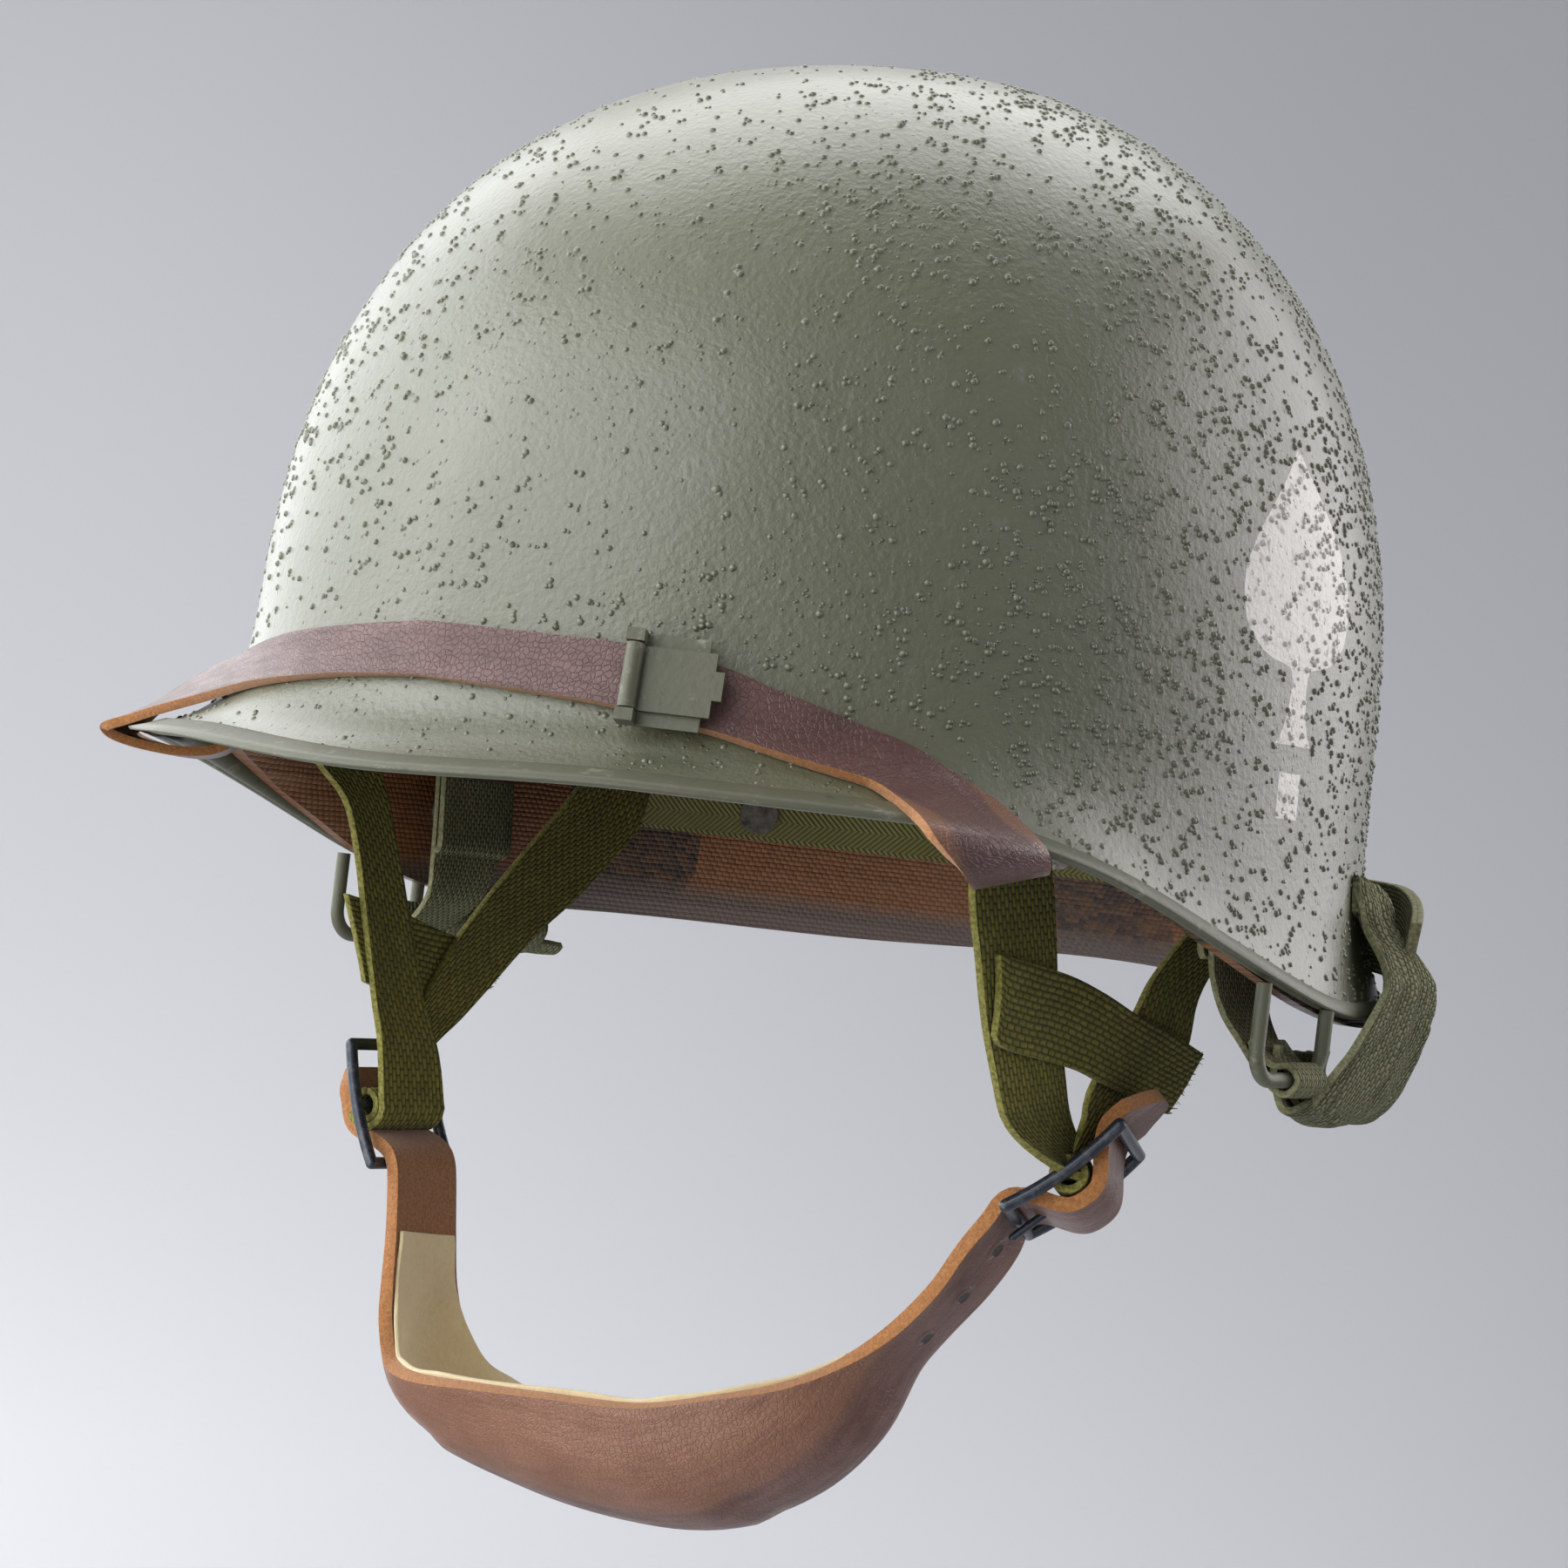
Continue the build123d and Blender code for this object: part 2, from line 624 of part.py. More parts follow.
buckle_plane = tangent_plane(buckle_height, buckle_bearing, strap_outside + buckle_seat, strap_gap)
gate_radius = buckle_pin + buckle_gate_fit + buckle_sheet
pin_height = buckle_sheet + strap_gap + gate_radius
pin_place = -buckle_length / 2 + gate_radius
pin_line = Plane(origin=buckle_plane.from_local_coords(Vector(pin_place, 0, pin_height)),
                 x_dir=buckle_plane.x_dir, z_dir=buckle_plane.y_dir)
with BuildPart() as strap_buckle:
    with BuildSketch(buckle_plane):
        Rectangle(buckle_length, buckle_width)
        Rectangle(buckle_window, buckle_window, mode=Mode.SUBTRACT)
    extrude(amount=buckle_sheet)
    with BuildSketch(buckle_plane):
        with Locations((pin_place, (buckle_width - buckle_ear) / 2), (pin_place, -(buckle_width - buckle_ear) / 2)):
            Rectangle(2 * gate_radius, buckle_ear)
    extrude(amount=pin_height + gate_radius)
    with BuildSketch(pin_line):
        Circle(buckle_pin + buckle_pin_fit)
    extrude(amount=buckle_width, both=True, mode=Mode.SUBTRACT)
finish(strap_buckle, "strap_buckle")

with BuildPart() as strap_buckle_pin:
    with BuildSketch(pin_line):
        Circle(buckle_pin)
    extrude(amount=buckle_width / 2, both=True)
finish(strap_buckle_pin, "strap_buckle_pin")

gate_half_width = buckle_width / 2 - buckle_ear - strap_gap
with BuildPart() as strap_buckle_gate:
    with BuildSketch(pin_line):
        Circle(gate_radius)
    extrude(amount=gate_half_width, both=True)
    with BuildSketch(buckle_plane.offset(buckle_sheet + strap_gap)):
        with Locations((pin_place + buckle_length / 2, 0)):
            Rectangle(buckle_length, 2 * gate_half_width)
        with Locations((pin_place + buckle_length, 0)):
            Rectangle(2 * gate_radius, buckle_lip)
    extrude(amount=buckle_sheet)
    with BuildSketch(pin_line):
        Circle(gate_radius - buckle_sheet)
    extrude(amount=buckle_width, both=True, mode=Mode.SUBTRACT)
finish(strap_buckle_gate, "strap_buckle_gate")

# Bales: bent wire, butted against the edging
bale_level = rim_height(bale_bearing)
bale_side = wall_point(bale_level, bale_bearing, 0)[0]
for side, name in ((1, "bale_left"), (-1, "bale_right")):
    with BuildPart() as bale:
        with BuildLine(Plane.YZ.offset(side * bale_side)) as bale_path:
            FilletPolyline((bale_front, bale_level + overrun), (bale_front, bale_bottom),
                           (bale_rear, bale_bottom), (bale_rear, bale_level + overrun), radius=bale_corner)
        with BuildSketch(Plane(origin=bale_path.line @ 0, z_dir=bale_path.line % 0)):
            Circle(bale_wire / 2)
        sweep()
        add(below_rim(rim_height, -edging_thickness), mode=Mode.INTERSECT)
    finish(bale, name)


def frame_plane(side):
    """The plane of a chin buckle: x along its centre bar, y up the frame, z outward from the face."""
    if side > 0:
        return Plane(origin=(left_hang, left_loop_y, left_loop_height),
                     x_dir=left_bar_direction, z_dir=left_frame_facing)
    lean = math.radians(right_lean)
    return Plane(origin=(-right_hang, right_loop_y, right_loop_height),
                 x_dir=(0, -1, 0), z_dir=(-math.cos(lean), 0, -math.sin(lean)))


def spot(plane, across, along, out):
    """A point given in a buckle's own plane."""
    return tuple(plane.from_local_coords(Vector(across, along, out)))


half_frame = frame_length / 2
half_bar = frame_width / 2


def chin_frame(plane):
    """A bowed wire frame with its centre bar."""
    radius = frame_wire / 2
    with BuildPart() as piece:
        add(rod(spot(plane, -half_bar, 0, 0), spot(plane, half_bar, 0, 0), radius))
        for along in (-half_frame, half_frame):
            add(rod(spot(plane, -half_bar, along, -frame_bow), spot(plane, half_bar, along, -frame_bow), radius))
        for across in (-half_bar, half_bar):
            with BuildLine(mode=Mode.PRIVATE) as side_bar:
                ThreePointArc(spot(plane, across, -half_frame, -frame_bow), spot(plane, across, 0, 0),
                              spot(plane, across, half_frame, -frame_bow))
            with BuildSketch(Plane(origin=side_bar.line @ 0, z_dir=side_bar.line % 0)):
                Circle(radius)
            sweep(path=side_bar.line)
    return piece.part


tongue_ring = frame_wire / 2 + tongue_fit + tongue_wire
tongue_rise = frame_wire / 2 + tongue_wire / 2 + tongue_fit - frame_bow


def prong(plane, lift, radius):
    """The straight part of a tongue, turned up by an angle about the centre bar."""
    turn = math.radians(lift)
    ends = []
    for along, out in ((-tongue_ring + tongue_wire, tongue_wire / 2), (-half_frame - frame_wire, tongue_rise)):
        ends.append(spot(plane, 0, along * math.cos(turn) + out * math.sin(turn),
                         out * math.cos(turn) - along * math.sin(turn)))
    return rod(ends[0], ends[1], radius)


def tongue(plane):
    """A wire tongue curled round the centre bar."""
    bar = Plane(origin=plane.origin, z_dir=plane.x_dir)
    with BuildPart() as piece:
        add(prong(plane, 0, tongue_wire / 2))
        with BuildSketch(bar):
            Circle(tongue_ring)
        extrude(amount=tongue_width / 2, both=True)
        with BuildSketch(bar):
            Circle(frame_wire / 2 + tongue_fit)
        extrude(amount=tongue_width, both=True, mode=Mode.SUBTRACT)
    return piece.part


def yoke(side, hang, loop_height, front_leg, rear_leg, crossbar):
    """An inverted A of webbing with a sleeve round each ring and one round the buckle's centre bar."""
    drop = hinge_height - loop_height
    outlines = [[(yoke_reach * along, hinge_height - drop * down) for along, down in shares]
                for shares in (front_leg, rear_leg, crossbar)]
    plane = frame_plane(side)
    legs = Plane.YZ.offset(side * hang)
    bar = Plane(origin=plane.origin, z_dir=plane.x_dir)
    top_bore = ring_wire / 2 + hinge_fit
    low_bore = frame_wire / 2 + loop_fit
    with BuildPart() as piece:
        for outline in outlines[:2]:
            with BuildSketch(legs):
                Polygon(*outline, align=None)
            extrude(amount=yoke_web / 2, both=True)
        with BuildSketch(legs.offset(side * yoke_web)):
            Polygon(*outlines[2], align=None)
        extrude(amount=yoke_web / 2, both=True)
        hinges = [Plane.XZ.offset(-y) for y in (front_hinge_y, rear_hinge_y)]
        for hinge in hinges:
            with BuildSketch(hinge):
                with Locations((side * hang, hinge_height)):
                    Circle(top_bore + yoke_web)
            extrude(amount=sleeve_length / 2, both=True)
        with BuildSketch(bar):
            Circle(low_bore + yoke_web)
        extrude(amount=sleeve_length / 2, both=True)
        for hinge in hinges:
            with BuildSketch(hinge):
                with Locations((side * hang, hinge_height)):
                    Circle(top_bore)
            extrude(amount=sleeve_length, both=True, mode=Mode.SUBTRACT)
        with BuildSketch(bar):
            Circle(low_bore)
        extrude(amount=sleeve_length, both=True, mode=Mode.SUBTRACT)
        with BuildSketch(bar):
            Circle(low_bore + yoke_web + overrun)
        extrude(amount=tongue_slot / 2, both=True, mode=Mode.SUBTRACT)
    return piece.part


thread_offset = frame_wire / 2 + loop_fit + yoke_web + thread_gap + leather / 2
cup_sizes = (cup_half_span, cup_setback, cup_drop, cup_width, cup_depth)


def chin_route():
    """Stations of the chin leather from the wearer's right end to the left end."""
    right, left = frame_plane(-1), frame_plane(1)
    fore_and_aft = Vector(0, 1, 0)
    stations = []
    for count, (along, out) in enumerate(reversed(thread_shares + right_tail_shares)):
        width = tail_tip_width if count == 0 else leather_width
        place = Vector(*spot(right, 0, along * half_frame, out * thread_offset))
        stations.append((place, fore_and_aft, width, leather_least_sag))
    for shares in cup_route_shares:
        x, y, z, width, sag = [size * share for size, share in zip(cup_sizes, shares)]
        tilt = math.radians(cup_tilt * shares[-1])
        stations.append((Vector(x, y, z), Vector(0, math.cos(tilt), -math.sin(tilt)), width, sag))
    left_route = thread_shares + left_tail_shares
    for count, (along, out) in enumerate(left_route):
        width = tail_tip_width if count == len(left_route) - 1 else leather_width
        place = Vector(*spot(left, 0, along * half_frame, out * thread_offset))
        stations.append((place, Vector(*left_bar_direction), width, leather_least_sag))
    return stations


def leather_loft(stations, thickness, inward, trim=0):
    """A strip lofted through stations of the chin leather; each cross-section is an arched bar."""
    outer = thickness / 2 - inward
    inner = outer - thickness
    with BuildPart() as strip:
        for index, (place, across, width, sag) in enumerate(stations):
            before = stations[max(index - 1, 0)][0]
            after = stations[min(index + 1, len(stations) - 1)][0]
            ahead = (after - before).normalized()
            half = (width - trim) / 2
            with BuildSketch(Plane(origin=place, x_dir=across - ahead * across.dot(ahead), z_dir=ahead * -1)):
                with BuildLine():
                    ThreePointArc((-half, outer), (0, outer + sag), (half, outer))
                    Line((half, outer), (half, inner))
                    ThreePointArc((half, inner), (0, inner + sag), (-half, inner))
                    Line((-half, inner), (-half, outer))
                make_face()
        loft(ruled=True)
    return strip.part


route = chin_route()
right_end = len(thread_shares) + len(right_tail_shares)
with BuildPart() as chin_strap:
    add(leather_loft(route, leather, 0))
    for side in (1, -1):
        for lift in (0, tongue_lift / 2, tongue_lift):
            add(prong(frame_plane(side), lift, tongue_wire / 2 + running_gap), mode=Mode.SUBTRACT)
    for index in (right_end, *[len(cup_route_shares) + right_end - back for back in (1, 2, 3)]):
        ahead = (route[index + 1][0] - route[index - 1][0]).normalized()
        outward = route[index][1].cross(ahead)
        with BuildSketch(Plane(origin=route[index][0], z_dir=outward)):
            Circle(leather_hole)
        extrude(amount=overrun, both=True, mode=Mode.SUBTRACT)
finish(chin_strap, "chin_strap")

with BuildPart() as chamois_lining:
    lined = route[right_end + chamois_first:right_end + chamois_last + 1]
    add(leather_loft(lined, chamois, leather / 2 + chamois / 2 + chamois_gap, chamois_margin))
finish(chamois_lining, "chin_cup_lining")

for side, name in ((1, "left"), (-1, "right")):
    with BuildPart() as chin_buckle:
        add(chin_frame(frame_plane(side)))
    finish(chin_buckle, f"chin_buckle_{name}")
    with BuildPart() as buckle_tongue:
        add(tongue(frame_plane(side)))
    finish(buckle_tongue, f"chin_tongue_{name}")

with BuildPart() as yoke_left:
    add(yoke(1, left_hang, left_loop_height, left_front_leg_shares, left_rear_leg_shares,
             left_crossbar_shares))
finish(yoke_left, "yoke_left")
with BuildPart() as yoke_right:
    add(yoke(-1, right_hang, right_loop_height, right_front_leg_shares, right_rear_leg_shares,
             right_crossbar_shares))
finish(yoke_right, "yoke_right")


def shell_strap():
    """Webbing round the left bale's lower bar, over the brim in a hollow roll and round the pot's back."""
    with BuildPart() as back_run:
        add(bowl(strap_gap + strap_web, 0, True))
        add(bowl(strap_gap, overrun, True), mode=Mode.SUBTRACT)
        start, end = [math.radians(bearing) for bearing in (wrap_last - wrap_step, back_strap_end)]
        with BuildSketch(Plane.XY.offset(back_strap_bottom)):
            Polygon((0, 0), (cut_reach * math.sin(start), -cut_reach * math.cos(start)),
                    (cut_reach * math.sin(start), cut_reach), (cut_reach * math.sin(end), cut_reach), align=None)
        extrude(amount=back_strap_top - back_strap_bottom, mode=Mode.INTERSECT)
    with BuildPart() as wrap:
        for count in range(round((wrap_last - wrap_first) / wrap_step) + 1):
            bearing = wrap_first + count * wrap_step
            seat = seat_plane(0, bearing, 0, True)
            outline = []
            for out, up in wrap_section_shares:
                wall = Vector(*wall_point(wrap_height * up, bearing, 0)) - seat.origin
                lean = wall.dot(seat.z_dir) if up > wrap_wall_share else 0
                outline.append((lean + wrap_reach * out, wrap_height * up))
            with BuildSketch(Plane(origin=seat.origin, x_dir=seat.z_dir, z_dir=seat.z_dir.cross(Vector(0, 0, 1)))):
                Polygon(*outline, align=None)
        loft(ruled=True)
    sleeve = bale_wire / 2 + bale_fit
    with BuildPart() as piece:
        add(back_run.part)
        add(wrap.part)
        with BuildSketch(Plane.XY.offset(strap_link_height - tab_thickness)):
            with Locations((bale_side, (bale_sleeve_front + strap_link_rear) / 2)):
                Rectangle(strap_link_width, strap_link_rear - bale_sleeve_front)
        extrude(amount=tab_thickness)
        with BuildSketch(Plane.XZ.offset(-bale_sleeve_rear)):
            with Locations((bale_side, bale_bottom)):
                Circle(sleeve + strap_web)
        extrude(amount=bale_sleeve_rear - bale_sleeve_front)
        with BuildSketch(Plane.XZ.offset(-tab_rear)):
            with BuildLine():
                Polyline(*tab_line)
            trace(line_width=tab_thickness)
        extrude(amount=tab_rear - tab_front)
        with BuildSketch(Plane.XZ.offset(-bale_sleeve_rear)):
            with Locations((bale_side, bale_bottom)):
                Circle(sleeve)
        extrude(amount=strap_link_rear, both=True, mode=Mode.SUBTRACT)
        add(strap_snaps.part, mode=Mode.SUBTRACT)
    return piece.part


with BuildPart() as shell_strap_left:
    add(shell_strap())
finish(shell_strap_left, "shell_strap_left")
with BuildPart() as shell_strap_right:
    mirror(shell_strap_left.part, about=Plane.YZ)
finish(shell_strap_right, "shell_strap_right")

catch_plane = tangent_plane(catch_height, 180, catch_rise, strap_gap)
catch_radius = catch_wire / 2
with BuildPart() as rear_buckle:
    corners = [spot(catch_plane, across, along, 0) for across, along in
               ((0, -catch_length / 2), (0, catch_length / 2),
                (catch_width, catch_length / 2), (catch_width, -catch_length / 2))]
    for start, end in zip(corners, corners[1:] + corners[:1]):
        add(rod(start, end, catch_radius))
finish(rear_buckle, "rear_buckle")

hook_line = Plane(origin=catch_plane.origin, x_dir=catch_plane.x_dir, z_dir=catch_plane.y_dir)
with BuildPart() as rear_hook:
    with BuildSketch(hook_line):
        Circle(catch_radius + catch_fit + hook_sheet)
        with Locations((-catch_width / 2, -catch_radius - catch_fit - hook_sheet / 2)):
            Rectangle(catch_width, hook_sheet)
        Circle(catch_radius + catch_fit, mode=Mode.SUBTRACT)
        with Locations((-catch_radius - hook_sheet, 0)):
            Rectangle(2 * catch_radius + hook_sheet, catch_wire, mode=Mode.SUBTRACT)
    extrude(amount=hook_width / 2, both=True)
finish(rear_hook, "rear_hook")
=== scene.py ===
"""Steel pot helmet with its liner, webbing chin harness and leather chin cup, dressed for rendering.

Metres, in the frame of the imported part: -Y is the front, +X the wearer's left, +Z up.
"""
import math
import random

import bmesh
import bpy
from mathutils import Matrix, Vector, noise


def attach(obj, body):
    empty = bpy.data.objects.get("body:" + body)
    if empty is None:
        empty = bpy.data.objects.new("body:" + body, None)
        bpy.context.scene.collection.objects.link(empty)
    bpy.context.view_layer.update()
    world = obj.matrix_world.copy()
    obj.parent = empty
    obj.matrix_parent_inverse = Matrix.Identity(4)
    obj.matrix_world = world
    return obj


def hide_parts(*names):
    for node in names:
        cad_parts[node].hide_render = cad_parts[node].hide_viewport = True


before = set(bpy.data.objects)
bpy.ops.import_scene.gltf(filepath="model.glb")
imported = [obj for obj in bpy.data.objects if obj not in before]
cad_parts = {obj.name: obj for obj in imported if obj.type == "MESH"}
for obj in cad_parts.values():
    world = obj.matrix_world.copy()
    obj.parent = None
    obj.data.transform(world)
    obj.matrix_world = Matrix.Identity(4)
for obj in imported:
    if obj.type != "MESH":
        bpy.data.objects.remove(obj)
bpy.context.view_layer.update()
scene = bpy.context.scene
scene.view_settings.view_transform = "Standard"

# Studio: a pale sweep well behind and below the helmet, a soft top light and two tall side lights
# that give the dome its pale flanks and dark front. The camera stands low at the front left.
CAMERA_PLACE = Vector((0.441385, -0.616833, 0.027362))
CAMERA_RIGHT = Vector((0.80359, 0.58326, 0.11856))
CAMERA_UP = Vector((-0.09209, -0.07496, 0.99293))
CAMERA_BACK = Vector((0.58802, -0.80882, -0.00652))
BACKDROP_GREY = (0.62, 0.63, 0.66, 1)


def shader_node(tree, kind, settings=None, **sockets):
    """Add a shader node; sockets take values or the outputs of other nodes."""
    node = tree.nodes.new("ShaderNode" + kind)
    for name, value in (settings or {}).items():
        setattr(node, name, value)
    for name, value in sockets.items():
        socket = node.inputs[int(name[1:])] if name[0] == "i" and name[1:].isdigit() \
            else node.inputs[name.replace("_", " ")]
        if isinstance(value, bpy.types.NodeSocket):
            tree.links.new(value, socket)
        else:
            socket.default_value = value
    return node


def maths(tree, operation, first, second=0.0):
    """One sum on two values."""
    return shader_node(tree, "Math", {"operation": operation}, i0=first, i1=second).outputs[0]


def mix(tree, share, first, second, blend="MIX"):
    """Two colours mixed by a share."""
    node = tree.nodes.new("ShaderNodeMix")
    node.data_type = "RGBA"
    node.blend_type = blend
    for index, value in ((0, share), (6, first), (7, second)):
        if isinstance(value, bpy.types.NodeSocket):
            tree.links.new(value, node.inputs[index])
        else:
            node.inputs[index].default_value = value
    return node.outputs[2]


def spread(tree, value, low, high, to_low=0.0, to_high=1.0):
    """A value stretched from one range onto another and held inside it."""
    return shader_node(tree, "MapRange", {"clamp": True}, Value=value, From_Min=low, From_Max=high,
                       To_Min=to_low, To_Max=to_high).outputs[0]


def new_material(name, **shader):
    """An empty node material with its shader; constants are set on the shader itself."""
    material = bpy.data.materials.new(name)
    material.use_nodes = True
    tree = material.node_tree
    skin = tree.nodes["Principled BSDF"]
    for key, value in shader.items():
        skin.inputs[key.replace("_", " ")].default_value = value
    return material, tree, skin


def bump(tree, skin, height, distance, strength=1.0, below=None):
    """Relief from a height; one bump can lie over another."""
    node = shader_node(tree, "Bump", Height=height, Distance=distance, Strength=strength)
    if below is not None:
        tree.links.new(below.outputs[0], node.inputs["Normal"])
    tree.links.new(node.outputs[0], skin.inputs["Normal"])
    return node


def build_studio():
    sweep_line = [(-4.0, 4.6), (-4.0, 1.0)]
    sweep_line += [(-3.0 - math.cos(turn), -0.9 - math.sin(turn)) for turn in
                   [math.radians(10 * step) for step in range(10)]]
    sweep_line += [(3.0, -1.9)]
    mesh = bpy.data.meshes.new("sweep")
    away = Vector((-CAMERA_BACK.x, -CAMERA_BACK.y, 0)).normalized()
    side = Vector((away.y, -away.x, 0))
    verts = []
    for back, height in sweep_line:
        for across in (-5.0, 5.0):
            verts.append(away * -back + side * across + Vector((0, 0, height)))
    faces = [(2 * i, 2 * i + 1, 2 * i + 3, 2 * i + 2) for i in range(len(sweep_line) - 1)]
    mesh.from_pydata(verts, [], faces)
    sweep = bpy.data.objects.new("sweep", mesh)
    scene.collection.objects.link(sweep)
    for face in mesh.polygons:
        face.use_smooth = True
    material, tree, skin = new_material("sweep_paper", Roughness=0.9)
    tone = shader_node(tree, "TexNoise", Scale=0.4, Detail=2.0)
    tree.links.new(mix(tree, spread(tree, tone.outputs[0], 0.3, 0.7), BACKDROP_GREY, (0.66, 0.66, 0.68, 1)),
                   skin.inputs["Base Color"])
    mesh.materials.append(material)

    world = bpy.data.worlds.new("studio")
    scene.world = world
    world.use_nodes = True
    world.node_tree.nodes["Background"].inputs[0].default_value = (0.78, 0.8, 0.84, 1)
    world.node_tree.nodes["Background"].inputs[1].default_value = 0.34
    pot = (0, 0, 0.05)
    for name, place, size, power, colour, target in (
            ("top_light", (-0.4, 0.55, 1.3), (1.7, 1.1), 18, (1, 1, 0.99), pot),
            ("left_light", (-1.35, -0.2, 0.4), (2.2, 1.5), 27, (0.96, 0.98, 1), pot),
            ("front_left_light", (-0.5, -1.35, 0.7), (2.0, 1.6), 28, (0.98, 0.99, 1), pot),
            ("right_light", (0.85, 1.2, 0.55), (1.7, 1.3), 18, (1, 0.96, 0.98), pot),
            ("front_fill", (0.9, -1.5, 0.1), (1.0, 0.9), 2, (1, 1, 1), pot),
            ("low_fill", (-0.3, -1.0, -0.5), (1.0, 0.8), 5, (1, 1, 1), pot),
            ("backdrop_left", (-3.0, 1.7, -1.5), (1.2, 1.2), 15, (1, 1, 1), (-3.1, 2.9, -0.6)),
            ("backdrop_low", (-1.3, 2.3, -1.5), (2.0, 0.8), 11, (1, 1, 1), (-2.0, 3.5, -0.9)),
            ("backdrop_wide", (-2.53, 0.93, 0.6), (1.0, 1.0), 12, (1, 1, 1), (-3.1, 2.7, 0.3))):
        light = bpy.data.lights.new(name, "AREA")
        light.shape = "RECTANGLE"
        light.size, light.size_y = size
        light.energy = power
        light.color = colour
        lamp = bpy.data.objects.new(name, light)
        lamp.location = place
        aim = Vector(target) - Vector(place)
        lamp.rotation_euler = aim.to_track_quat("-Z", "Y").to_euler()
        scene.collection.objects.link(lamp)

    camera = bpy.data.objects.new("camera", bpy.data.cameras.new("camera"))
    camera.data.sensor_width = 36.0
    camera.data.lens = 83.9
    turn = Matrix((CAMERA_RIGHT, CAMERA_UP, CAMERA_BACK)).transposed().to_4x4()
    camera.matrix_world = Matrix.Translation(CAMERA_PLACE) @ turn
    scene.collection.objects.link(camera)
    scene.camera = camera


build_studio()

# Steel pot: one pressed shell of manganese steel with a flared brim, painted olive drab over crumbled
# cork. The cork stands up as grit, thicker to the rear. A white spade is stencilled on each side.
DOME_FRONT, DOME_REAR, DOME_SIDE, DOME_TOP = 0.1225, 0.1235, 0.111, 0.18
SHOULDER = 0.053
POT_STEEL = 0.001
# Heights of the rim: over the eyes, the dip at the peak's middle, and at the nape; it is lowest at the sides
VISOR_RIM, PEAK_DIP, NAPE_RIM = 0.028, 0.002, 0.0047


def ease(value, start, end):
    share = min(max((value - start) / (end - start), 0), 1)
    return share * share * (3 - 2 * share)


def rim_line(bearing):
    """Height of the pot's rim at a bearing in degrees: 0 is the front, 90 the wearer's left."""
    angle = abs((bearing + 180) % 360 - 180)
    visor = VISOR_RIM * (1 - ease(angle, 45, 105)) - PEAK_DIP * (1 - ease(angle, 0, 25))
    return visor + NAPE_RIM * ease(angle, 140, 180)


def pot_wall(height, bearing, grow=0.0):
    """A point of the pot's outer face, moved out by grow."""
    angle = abs((bearing + 180) % 360 - 180)
    turn = math.radians(bearing)
    front = math.cos(turn) > 0
    half = DOME_FRONT if front else DOME_REAR
    rise = min(max((height - SHOULDER) / (DOME_TOP + grow - SHOULDER), 0), 1)
    roundness = 2.02 if front else 2.06
    reach_y = (half + grow) * (1 - rise ** roundness) ** (1 / roundness)
    reach_x = (DOME_SIDE + grow) * (1 - rise ** 2.38) ** (1 / 2.38)
    visor, rear = 1 - ease(angle, 41, 82), ease(angle, 95, 135)
    size = 0.0065 + visor * 0.014 + rear * 0.0045
    fade = 0.0112 - visor * 0.0046
    above = height - rim_line(bearing)
    flare = size * math.exp(-above / fade) if above > 0 else size * (1 - max(above, -fade) / fade)
    flare += grow * (math.hypot(1, size / fade * math.exp(-max(above, 0) / fade)) - 1)
    across, along = math.sin(turn) / DOME_SIDE, -math.cos(turn) / half
    scale = math.hypot(across, along)
    return Vector((reach_x * math.sin(turn) + flare * across / scale,
                   -reach_y * math.cos(turn) + flare * along / scale, height))


def surface(name, rows, material, body, closed=False, pole=None, flip=False):
    """A smooth sheet of quads through rows of points, with a map in metres along and across it."""
    mesh = bpy.data.meshes.new(name)
    bm = bmesh.new()
    grid = [[bm.verts.new(point) for point in row] for row in rows]
    lay = bm.loops.layers.uv.new("lay")
    middle = len(rows[0]) // 2
    along, across = [0.0], []
    for first, second in zip(rows, rows[1:]):
        along.append(along[-1] + (Vector(second[middle]) - Vector(first[middle])).length)
    for row in rows:
        places = [0.0]
        for first, second in zip(row, list(row[1:]) + [row[0]]):
            places.append(places[-1] + (Vector(second) - Vector(first)).length)
        centre = places[middle]
        across.append([place - centre for place in places])
    columns = len(rows[0])
    for i in range(len(rows) - 1):
        for j in range(columns if closed else columns - 1):
            k = (j + 1) % columns
            corners = [(i, j, j), (i, k, j + 1), (i + 1, k, j + 1), (i + 1, j, j)]
            if flip:
                corners.reverse()
            face = bm.faces.new([grid[row][column] for row, column, _ in corners])
            for loop, (row, _, place) in zip(face.loops, corners):
                loop[lay].uv = (along[row], across[row][place])
    if pole is not None:
        tip = bm.verts.new(pole)
        for j in range(columns):
            k = (j + 1) % columns
            ring = [grid[-1][j], grid[-1][k], tip]
            if flip:
                ring.reverse()
            bm.faces.new(ring)
    bm.to_mesh(mesh)
    bm.free()
    for face in mesh.polygons:
        face.use_smooth = True
    for entry in material if isinstance(material, (list, tuple)) else [material]:
        mesh.materials.append(entry)
    piece = bpy.data.objects.new(name, mesh)
    scene.collection.objects.link(piece)
    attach(piece, body)
    return piece


def group_of(name, inputs, outputs):
    """An empty node group with named sockets."""
    group = bpy.data.node_groups.new(name, "ShaderNodeTree")
    for label, kind, default in inputs:
        socket = group.interface.new_socket(label, in_out="INPUT", socket_type=kind)
        if default is not None:
            socket.default_value = default
    for label, kind in outputs:
        group.interface.new_socket(label, in_out="OUTPUT", socket_type=kind)
    return group, group.nodes.new("NodeGroupInput"), group.nodes.new("NodeGroupOutput")


